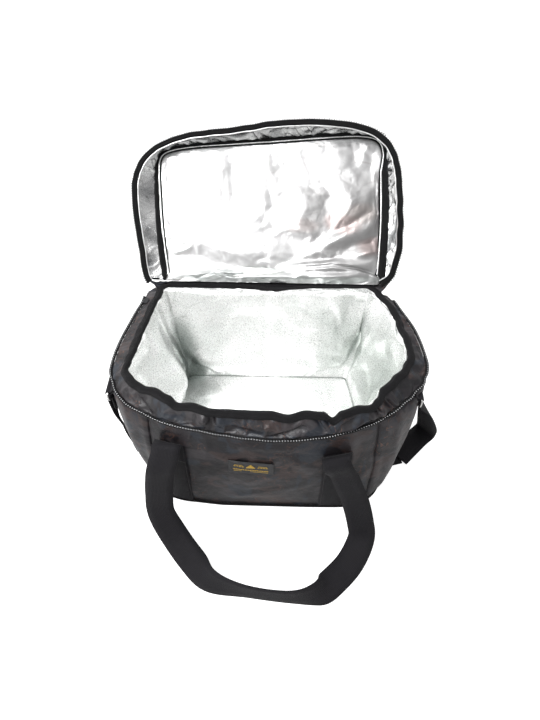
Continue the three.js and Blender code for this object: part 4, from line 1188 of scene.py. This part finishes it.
def addLidFrame():
    start, end = lidLook["bandEnds"]
    places = evenPlaces(lidLook["outline"], start, end, 300)
    # the welt's section: share of the width and rise in mm
    section = [(-0.22, 1.8), (-0.25, -0.4), (0.0, -2.6), (0.3, -3.6), (0.7, -3.4), (0.95, -2.2), (1.0, 0.4)]
    rows = []
    for share, rise in section:
        row = []
        for spot in places:
            width = widthAt(lidLook["bandWidth"], spot)
            wobble = noise.noise(Vector((spot * 22, 3.3, share))) * 0.8 * mm
            row.append(framePoint(spot, share * width + wobble, rise * mm + wobble))
        rows.append(row)
    fixTo(sheetMesh("lidBinding", rows, "zipTape", thickness=0.7 * mm, offset=-1.0), "lid", "trim", "lid_binding")
    for name, gap, finish, radius in (("liningEdge", 1.8, "foil", 1.0), ("liningPiping", 3.7, "zipTape", 1.1)):
        points = []
        for spot in places:
            rise = -1.6 + 0.9 * noise.noise(Vector((spot * 15, 1, gap)))
            points.append(framePoint(spot, widthAt(lidLook["bandWidth"], spot) + gap * mm, rise * mm))
        fixTo(tube(name, points, radius * mm, finish), "lid", "trim")


def gussetPoint(spot, level, inset):
    upper = lidLook["outline"]
    lower = lidLook["seam"]
    a = insetPoint(upper, spot, inset)
    b = insetPoint(lower, spot, inset)
    point = a.lerp(b, level)
    point += outwardAt(lower, spot) * lidLook["gussetBulge"] * math.sin(level * math.pi)
    if b.y > 0.1:
        point.y = min(point.y, 0.119 - inset)
    top = lidLook["hinge"].z + mixed(lidLook["top"] - 1 * mm, lidLook["bottom"], min(inset / (2 * mm), 1))
    point.z = mixed(top, lidSeamHeight(outlinePoint(lower, spot).y) + 0.8 * mm, level)
    return point


def gussetFold(spot, level, folds, outmost):
    free = math.sin(level * math.pi) ** 0.7
    fold = noise.noise(Vector((spot * 34 + level * 1.5, level * 1.0, 2.0)))
    sharp = max(1 - abs(noise.noise(Vector((spot * 26 - level, level, 8.0)))) * 5, 0)
    return outwardAt(lidLook["seam"], spot) * min((fold * 2.0 - sharp * 1.6) * folds * mm * free, outmost)


def gussetSheet(name, inset, finish, folds, outmost, places, closed):
    rows = []
    for step in range(17):
        level = step / 16
        row = [gussetPoint(spot, level, inset) + gussetFold(spot, level, folds, outmost) for spot in places]
        rows.append([opened(*point, 1 - level) for point in row])
    return sheetMesh(name, rows, finish, closed=closed, thickness=0.6 * mm, offset=0.0)


def addGusset():
    whole = evenPlaces(lidLook["seam"], 0.0, 2.0, 480)[:-1]
    cover = gussetSheet("lidGusset", 0.0, "camo", 0.5, 3 * mm, whole, True)
    fixTo(cover, "lid", "fabric", "lid_gusset")
    part = evenPlaces(lidLook["seam"], 0.215, 1.785, 480)
    lining = gussetSheet("lidGussetLining", 2.6 * mm, "shadedGussetFoil", 2.2, 0.3 * mm, part, False)
    fixTo(lining, "lid", "silver", "lid_gusset_lining")


def lidZipPoint(spot, outset, rise=0.0):
    flat = insetPoint(lidLook["seam"], spot, -outset)
    wave = noise.noise(Vector((spot * 8, 1.0, 6.0))) * 0.8 * mm
    return opened(flat.x, flat.y, lidSeamHeight(outlinePoint(lidLook["seam"], spot).y) + rise + wave)


def addLidZip():
    places = evenPlaces(lidLook["seam"], *lidLook["zipEnds"], 320)
    outsets = (-3.0 * mm, 0.4 * mm, 3.2 * mm, zipLook["lidTapeEnd"])
    rows = [[lidZipPoint(spot, outset, -0.4 * mm) for spot in places] for outset in outsets]
    piece = sheetMesh("lidZipTape", rows, "zipTape", thickness=zipLook["tapeThick"], offset=1.0)
    fixTo(piece, "lid", "zip", "lid_zip_tape")
    edge = [lidZipPoint(spot, -4.0 * mm, -0.6 * mm) for spot in places]
    fixTo(tube("gussetEdge", edge, 0.9 * mm, "shadedLidFoil"), "lid", "silver")
    fine = evenPlaces(lidLook["seam"], *lidLook["zipEnds"], 640)
    line = [lidZipPoint(spot, zipLook["lidTeethMiddle"]) for spot in fine]
    inner = [lidZipPoint(spot, zipLook["lidTeethMiddle"] - 2 * mm) for spot in fine]
    centres = []
    for point, along in spacedAlong(line, zipLook["pitch"]):
        k = min(range(0, len(line), 4), key=lambda n: (line[n] - point).length_squared)
        across = line[k] - inner[k]
        across -= along * across.dot(along)
        centres.append((point, along, across.normalized()))
    fixTo(chain("lidZipTeeth", centres, zipLook["tooth"], "teeth"), "lid", "zip", "lid_zip_teeth")


# the strip that carries the lid: sewn to the rear rim, round the hinge bead and up into the lid
hingeCloth = {
    "profile": [
        (0.1192, 0.206), (0.1196, 0.220), (0.1205, 0.2250), (0.1228, 0.2270), (0.1262, 0.2264), (0.1290, 0.2246),
    ],
    "ends": (-0.166, 0.176),
}


def addHingeCloth():
    rows = []
    for y, z in hingeCloth["profile"]:
        row = []
        for i in range(81):
            x = mixed(*hingeCloth["ends"], i / 80)
            wave = noise.noise(Vector((x * 30, z * 10, 3.0))) * 0.8 * mm
            row.append(Vector((x, y + wave * 0.5, z)))
        rows.append(row)
    piece = sheetMesh("hingeCloth", rows, "binding", thickness=1.0 * mm, offset=0.0)
    settle(piece)
    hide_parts("hinge_strip", "lid_hinge_flap")
    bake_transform(piece)


def tuckPoint(spot, share):
    low = wallPoint(spot, 1.9, -3 * mm)
    flat = insetPoint(lidLook["seam"], spot, -1 * mm)
    high = opened(flat.x, flat.y, lidSeamHeight(outlinePoint(lidLook["seam"], spot).y) + 1 * mm)
    gather = noise.noise(Vector((spot * 55, share * 2.5, 9.0))) * 5 * mm
    return low.lerp(high, share) + outwardAt(bodyShape["rim"], spot) * math.sin(share * math.pi) * (5 * mm + gather)


# the gathered fabric that joins the lid to the body at each rear corner
def addCornerTucks():
    spots = [mixed(0.195, 0.30, i / 32) for i in range(33)]
    for side, places in (("Right", spots), ("Left", [2 - spot for spot in spots])):
        rows = [[tuckPoint(spot, j / 12) for spot in places] for j in range(13)]
        piece = settle(sheetMesh(f"cornerTuck{side}", rows, "camo", thickness=0.9 * mm, offset=0.0))
        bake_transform(piece)


addCornerTucks()
addLidPads()
addLidLining()
addLidFrame()
addGusset()
addLidZip()
addHingeCloth()
print("lid and zips done")

# webbing
bandLook = {"width": 38 * mm, "thickness": 1.6 * mm, "across": (-0.5, -0.25, 0, 0.25, 0.5)}


# a centripetal Catmull-Rom curve through points
def smoothCurve(points, steps):
    ghost = [points[0] * 2 - points[1]] + list(points) + [points[-1] * 2 - points[-2]]
    out = []
    for i in range(steps + 1):
        t = i / steps * (len(points) - 1)
        k = min(int(t), len(points) - 2)
        s = t - k
        a, b, c, d = ghost[k : k + 4]
        out.append(0.5 * (2 * b + (c - a) * s + (2 * a - 5 * b + 4 * c - d) * s * s + (3 * b - a - 3 * c + d) * s ** 3))
    return out


# flat webbing: each stop is the band's middle and the direction across it, in mm
def band(name, stops, steps, width=bandLook["width"], floor=True):
    thickness = bandLook["thickness"]
    middles = smoothCurve([Vector(at) * mm for at, _ in stops], steps)
    sides = smoothCurve([Vector(across) for _, across in stops], steps)
    rows = [[] for _ in bandLook["across"]]
    for i, middle in enumerate(middles):
        along = (middles[min(i + 1, steps)] - middles[max(i - 1, 0)]).normalized()
        side = (sides[i] - along * sides[i].dot(along)).normalized()
        face = along.cross(side)
        spot = middle.copy()
        if floor:
            spot.z = max(spot.z, abs(side.z) * width / 2 + abs(face.z) * thickness / 2 + 0.05 * mm)
        for row, across in zip(rows, bandLook["across"]):
            cup = (0.25 - across * across) * 1.2 * mm * noise.noise(Vector((i * 0.08, 5.0, 1.0)))
            row.append(spot + side * across * width + face * cup)
    return sheetMesh(name, rows, "webbing", thickness=thickness, offset=0.0)


# the front wall's y at an x and a height
def frontFace(x, z):
    level = min(z / bodyShape["frontZ"], 1)
    points = [wallPoint(0.7 + 0.6 * i / 120, level) for i in range(121)]
    return min(points, key=lambda point: abs(point.x - x)).y


# from the sewn foot on the wall up over a soft arch to the start of the fall, in mm
def handleArch(x, sign, low, high):
    def wall(z):
        return frontFace(x * mm, z * mm) / mm

    slope = (frontFace((x + 15) * mm, high * mm) - frontFace((x - 15) * mm, high * mm)) / 0.03
    flat = tuple(Vector((-sign, -sign * slope, 0)).normalized())
    tilted = tuple(Vector((-sign, -sign * slope * 0.4, -0.42 if sign > 0 else 0.05)).normalized())
    right = sign > 0
    return [
        ((x, wall(low) - 2.6, low), flat),
        ((x, wall(high - 16) - 2.8, high - 16), flat),
        ((x - 0.5, wall(high) - 4, high + 1), flat),
        ((x - 1.5 - 2 * right, wall(high) - 9, high + 9), tilted),
        ((x - 1 + 2 * sign - 6 * right, wall(high) - 17, high + 9), tilted),
        ((x + 5 * sign - 6 * right, wall(high) - 24, high - 1), tilted),
    ]


# a loop whose sewn end stays on the wall
def swinging(piece, body):
    settle(piece)
    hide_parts(body)
    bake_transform(piece)


# the free run of each handle: the band's middle and the direction across it, in mm
handleLook = {
    "frontWidth": 41 * mm,
    "frontRun": [
        ((-144, -162, 133), (1, 0, 0)), ((-149, -168, 108), (1, 0.02, 0)), ((-152, -175, 84), (1, 0.05, 0)),
        ((-152, -190, 48), (0.95, 0.2, 0.1)), ((-130, -217, 17), (0.8, 0.55, 0.1)),
        ((-102, -248, 11), (0.75, 0.6, 0.25)), ((-72, -277, 16), (0.4, 0.45, 0.8)),
        ((-20, -291, 19.3), (0, 0.15, 0.98)), ((44, -297, 19.3), (-0.05, 0.15, 0.98)),
        ((82, -290, 17), (-0.35, 0.45, 0.8)), ((105, -272, 7), (-0.65, 0.7, 0.15)),
        ((134, -242, 4), (-0.8, 0.5, 0.05)), ((153, -207, 9), (-0.97, 0.1, 0.05)), ((150, -190, 32), (-1, 0, 0)),
        ((139, -174, 70), (-0.97, 0, -0.2)), ((128, -166, 98), (-0.95, 0, -0.25)),
        ((117, -159, 126), (-0.93, 0.05, -0.32)),
    ],
    "backHalf": [
        ((-120, 124.5, 154), (1, 0, 0)), ((-124, 139, 112), (1, 0, 0)), ((-133, 153, 62), (1, 0, 0)),
        ((-139, 168, 20), (1, 0, 0)), ((-134, 192, 5), (0.95, -0.2, 0)), ((-104, 228, 7), (0.7, -0.65, 0.2)),
        ((-64, 249, 17), (0.3, -0.4, 0.8)),
    ],
    "backMiddle": ((0, 256, 19.3), (0, -0.1, 0.99)),
}


# one half of a run, its middle stop, and the same half on the other side
def evenRun(half, middle):
    return half + [middle] + [((-x, y, z), (-across, *rest)) for (x, y, z), (across, *rest) in reversed(half)]


def addHandles():
    stops = handleArch(-132, -1, 118, 155) + handleLook["frontRun"] + handleArch(108, 1, 112, 148)[::-1]
    swinging(band("frontHandle", stops, 200, width=handleLook["frontWidth"]), "front_handle")
    stops = evenRun(handleLook["backHalf"], handleLook["backMiddle"])
    swinging(band("backHandle", stops, 160), "back_handle")


addHandles()


def addAnchor(name, node, x, acrosses, wallY):
    rows = []
    for across in acrosses:
        spot = (x + across) * mm
        rows.append([Vector((spot, wallY(spot, z * mm), z * mm)) for z in range(4, 152, 4)])
    piece = sheetMesh(name, rows, "webbing", thickness=1.5 * mm, offset=0.0)
    fixTo(piece, "bag", "webbing", node)


bandsAt = {"front": {"Left": -131, "Right": 108}, "back": {"Left": -120, "Right": 120}}
for side, x in bandsAt["front"].items():
    node = f"front_anchor_{side.lower()}"
    addAnchor(f"frontAnchor{side}", node, x, (-19, -12, -6, 0, 6, 12, 19), lambda x, z: frontFace(x, z) - 1.5 * mm)
for side, x in bandsAt["back"].items():
    addAnchor(f"backAnchor{side}", f"back_anchor_{side.lower()}", x, (-19, 0, 19), lambda x, z: 0.1195)

stitchLook = {"pitch": 3.4 * mm, "size": (2.3 * mm, 0.5 * mm, 0.5 * mm), "edge": 16.5}


# a row of short raised threads along a line of points; each point comes with its outward direction
def stitches(name, points):
    line = [point for point, _ in points]
    centres = []
    for point, along in spacedAlong(line, stitchLook["pitch"]):
        near = min(range(len(line)), key=lambda n: (line[n] - point).length_squared)
        centres.append((point, along, along.cross(points[near][1]).normalized()))
    fixTo(chain(name, centres, stitchLook["size"], "thread"), "bag", "webbing")


def addStitches():
    points = []
    for spot in evenPlaces(bodyShape["seam"], 0.70, 1.30, 160):
        normal = outwardAt(bodyShape["seam"], spot)
        points.append((panelPoint(spot, 0.965, 0) + normal * 1.3 * mm, normal))
    stitches("zipStitches", points)
    forward = Vector((0, -1, 0))
    for side, x in bandsAt["front"].items():
        for edge, offset in (("Outer", -stitchLook["edge"]), ("Inner", stitchLook["edge"])):
            spot = (x + offset) * mm
            line = [Vector((spot, frontFace(spot, z * mm) - 2.4 * mm, z * mm)) for z in range(6, 112, 6)]
            stitches(f"anchorStitches{side}{edge}", [(point, forward) for point in line])


addStitches()

# the strap's drops at both sides and its run behind: the band's middle and the direction across it, in mm
strapLook = {
    "ring": (226, -50, 175, 3.0),  # x, y, the height of its low bar, and the reach of the band's turn round it
    "right": [
        ((246, -45, 138), (0.3, -0.95, 0)), ((261, -36, 92), (0.6, -0.8, 0)), ((274, -24, 48), (0.75, -0.66, 0)),
        ((281, -14, 18), (0.72, -0.69, 0)), ((281, -13, 7), (0.7, -0.7, 0)), ((275, -17, 3.1), (0.7, -0.7, 0)),
        ((264, -27, 2.9), (0.7, -0.7, 0)), ((244, -47, 2.9), (0.7, -0.7, 0)), ((228, -63, 2.9), (0.7, -0.7, 0)),
    ],
    "leftTop": ((-230, -51, 132), (0.1, -0.99, 0)),
    "left": [(-232, -54, 104), (-231, -55, 78), (-227, -56, 50), (-222, -58, 24), (-218.5, -59, 10)],
    "leftAcross": (0.5, -0.85, 0.16),
    "leftEnd": [((-214, -52, 2.9), (0.8, -0.6, 0)), ((-207, -36, 2.9), (0.95, -0.3, 0))],
    "runStart": [((217, -78, 0.8), (1, 0.2, 0)), ((209, -48, 0.8), (1, 0.15, 0)), ((203, -10, 0.8), (1, 0, 0))],
    "runHalf": [
        ((203, 60, 0.8), (1, 0, 0)), ((203, 130, 0.8), (1, 0, 0)), ((201, 200, 7), (0.95, 0.1, 0.25)),
        ((182, 262, 15), (0.5, 0.3, 0.75)), ((130, 305, 19.5), (0.1, 0.15, 0.98)),
    ],
    "runMiddle": ((0, 318, 19.5), (0, 0.1, 0.99)),
    "runEnd": ((-203, -30, 0.8), (-1, 0, 0)),
}


# the turn of a strap over its ring, in mm
def strapTop(sign):
    x, y, low, wrap = strapLook["ring"]
    up = [(-wrap + 0.6, low - 26), (-wrap, low - 8), (-wrap, low)]
    turn = up + [(0, low + wrap), (wrap, low), (wrap + 0.4, low - 8)]
    return [((sign * (x + aside), y, z), (0, -1, 0)) for aside, z in turn]


def addStraps():
    right = strapTop(1) + strapLook["right"]
    left = strapTop(-1) + [strapLook["leftTop"]]
    left += [(point, strapLook["leftAcross"]) for point in strapLook["left"]] + strapLook["leftEnd"]
    run = strapLook["runStart"] + evenRun(strapLook["runHalf"], strapLook["runMiddle"]) + [strapLook["runEnd"]]
    fixTo(band("strapRight", right, 150, floor=False), "bag", "webbing", "strap_right")
    fixTo(band("strapLeft", left, 130, floor=False), "bag", "webbing", "strap_left")
    fixTo(band("strapRun", run, 160), "bag", "webbing", "strap_run")


addStraps()
print("webbing done")


# label: a plain dark patch with a raised rim and a generic ornament
labelLook = {"width": 66 * mm, "height": 28 * mm, "x": -17 * mm, "z": 124 * mm, "rim": 2.2 * mm, "rimRise": 0.5 * mm}


def onLabel(across, up, outset):
    x, z = labelLook["x"] + across, labelLook["z"] + up
    return Vector((x, frontFace(x, z) - outset, z))


def addLabel():
    halfWide, halfTall = labelLook["width"] / 2, labelLook["height"] / 2
    rows = []
    for j in range(13):
        up = mixed(-halfTall, halfTall, j / 12)
        row = []
        for i in range(25):
            across = mixed(-halfWide, halfWide, i / 24)
            edge = min(halfWide - abs(across), halfTall - abs(up))
            row.append(onLabel(across, up, 2.0 * mm + (labelLook["rimRise"] if edge < labelLook["rim"] else 0)))
        rows.append(row)
    piece = sheetMesh("frontLabel", rows, "leather", thickness=1.4 * mm, offset=0.0)
    fixTo(piece, "bag", "label", "front_label")
    # a generic ornament: a small stepped hill over a row of triangles between two fine lines
    bm = bmesh.new()

    def bar(across, up, wide, tall, lean=0.0):
        for v in bmesh.ops.create_grid(bm, x_segments=1, y_segments=1, size=0.5)["verts"]:
            u, w = v.co.x * wide, v.co.y * tall
            v.co = onLabel(across + u + lean * w, up + w, 2.9 * mm)

    for i in range(15):
        across = mixed(-24 * mm, 24 * mm, i / 14)
        bar(across, -5.2 * mm, 2.3 * mm, 1.5 * mm, 0.9 if i % 2 else -0.9)
    for i, wide in enumerate((13, 9.5, 6, 2.6)):
        bar(0, (1.2 + 2.0 * i) * mm, wide * mm, 1.5 * mm)
    for side in (-1, 1):
        for i in range(4):
            bar(side * (11.5 + 3.9 * i) * mm, 2.6 * mm, 2.6 * mm, 1.3 * mm, 0.5 * side)
        bar(side * 17.5 * mm, 5.4 * mm, 12 * mm, 0.7 * mm)
    bar(0, -9.2 * mm, 50 * mm, 0.7 * mm)
    piece = objectFrom("labelOrnament", bm, "gold", thickness=0.3 * mm, offset=0.0)
    fixTo(piece, "bag", "label")


addLabel()

# the solids that stay as they are, with a finish each
solidFinishes = {
    "metal": ("ring_right", "ring_left"),
    "webbing": ("ring_tab_right", "ring_tab_left"),
    "darkMetal": ("zip_slider_right", "zip_slider_left", "zip_pull_right", "zip_pull_left"),
    "plastic": ("strap_adjuster",),
}
for finish, nodeNames in solidFinishes.items():
    for nodeName in nodeNames:
        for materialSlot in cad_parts[nodeName].material_slots:
            materialSlot.material = finishes[finish]

# floor, lamps and world
stageLook = {
    "floor": (0.62, 0.62, 0.62),
    "grain": (0.60, 0.60, 0.61),
    "lift": 0.8,
    "skyAim": (-0.5, 0.45, 0.75),
    "skyRamp": (0.42, 0.60, 0.20, 1.75),
    "lowRamp": (-0.3, 0.4, 0.2, 1.0),
    "evenShare": 0.5,
}


def addFloor():
    s = Shader(bpy.data.materials.new("paleFloor"))
    grain = s.clouds(s.objectPlace(), 40.0, 2.0)
    s.finish(Base_Color=s.blend(grain * 0.02, stageLook["floor"], stageLook["grain"]), Roughness=0.9)
    plain = Value(s, s.surface.outputs[0])
    glow = s.add("ShaderNodeEmission", None, {"Color": (1, 1, 1), "Strength": stageLook["lift"]})
    lifted = s.add("ShaderNodeAddShader", None, {0: plain, 1: glow})
    seen = s.add("ShaderNodeLightPath", output="Is Camera Ray")
    s.put(s.output.inputs[0], s.add("ShaderNodeMixShader", None, {0: seen, 1: plain, 2: lifted}))
    finishes["floor"] = s.owner
    bm = bmesh.new()
    bmesh.ops.create_grid(bm, x_segments=1, y_segments=1, size=6)
    floor = objectFrom("floor", bm, "floor")


# white where the camera sees it; what lights the bag is partly even and partly a bright side of the sky
def addWorld():
    world = bpy.data.worlds.new("world")
    scene.world = world
    s = Shader(world, "ShaderNodeBackground", "ShaderNodeOutputWorld")
    way = s.add("ShaderNodeTexCoord", output="Generated")
    aim = s.add("ShaderNodeVectorMath", {"operation": "DOT_PRODUCT"}, {0: way, 1: stageLook["skyAim"]}, "Value")
    sky = aim.fit(*stageLook["skyRamp"]) * aim.fit(*stageLook["lowRamp"], "LINEAR")
    seen = s.add("ShaderNodeLightPath", output="Is Camera Ray").maths("MAXIMUM", stageLook["evenShare"])
    s.finish(Color=(1, 1, 1), Strength=seen.fit(0.0, 1.0, sky, 1.0, "LINEAR"))


def lamp(name, place, target, size, power, cone=None):
    data = bpy.data.lights.new(name, "SPOT" if cone else "AREA")
    if cone:
        data.spot_size, data.spot_blend, data.shadow_soft_size = math.radians(cone), 0.8, size / 2
    else:
        data.shape, data.size = "DISK", size
    data.energy = power
    light = bpy.data.objects.new(name, data)
    light.location = place
    light.rotation_euler = (Vector(target) - Vector(place)).to_track_quat("-Z", "Y").to_euler()
    scene.collection.objects.link(light)


addFloor()
addWorld()

# place, target, size in metres, power in watts, and the cone of a spot
lamps = {
    "keyLamp": ((-0.65, -0.35, 1.85), (0, 0.05, 0.15), 1.3, 34),
    "fillLamp": ((-1.2, -1.4, 0.55), (0, 0, 0.1), 1.2, 4.5),
    "innerLamp": ((0.55, 0.0, 1.30), (-0.125, 0.0, 0.13), 0.1, 12, 20),  # reaches only the inside left wall
}
for name, settings in lamps.items():
    lamp(name, *settings)
print("stage done")
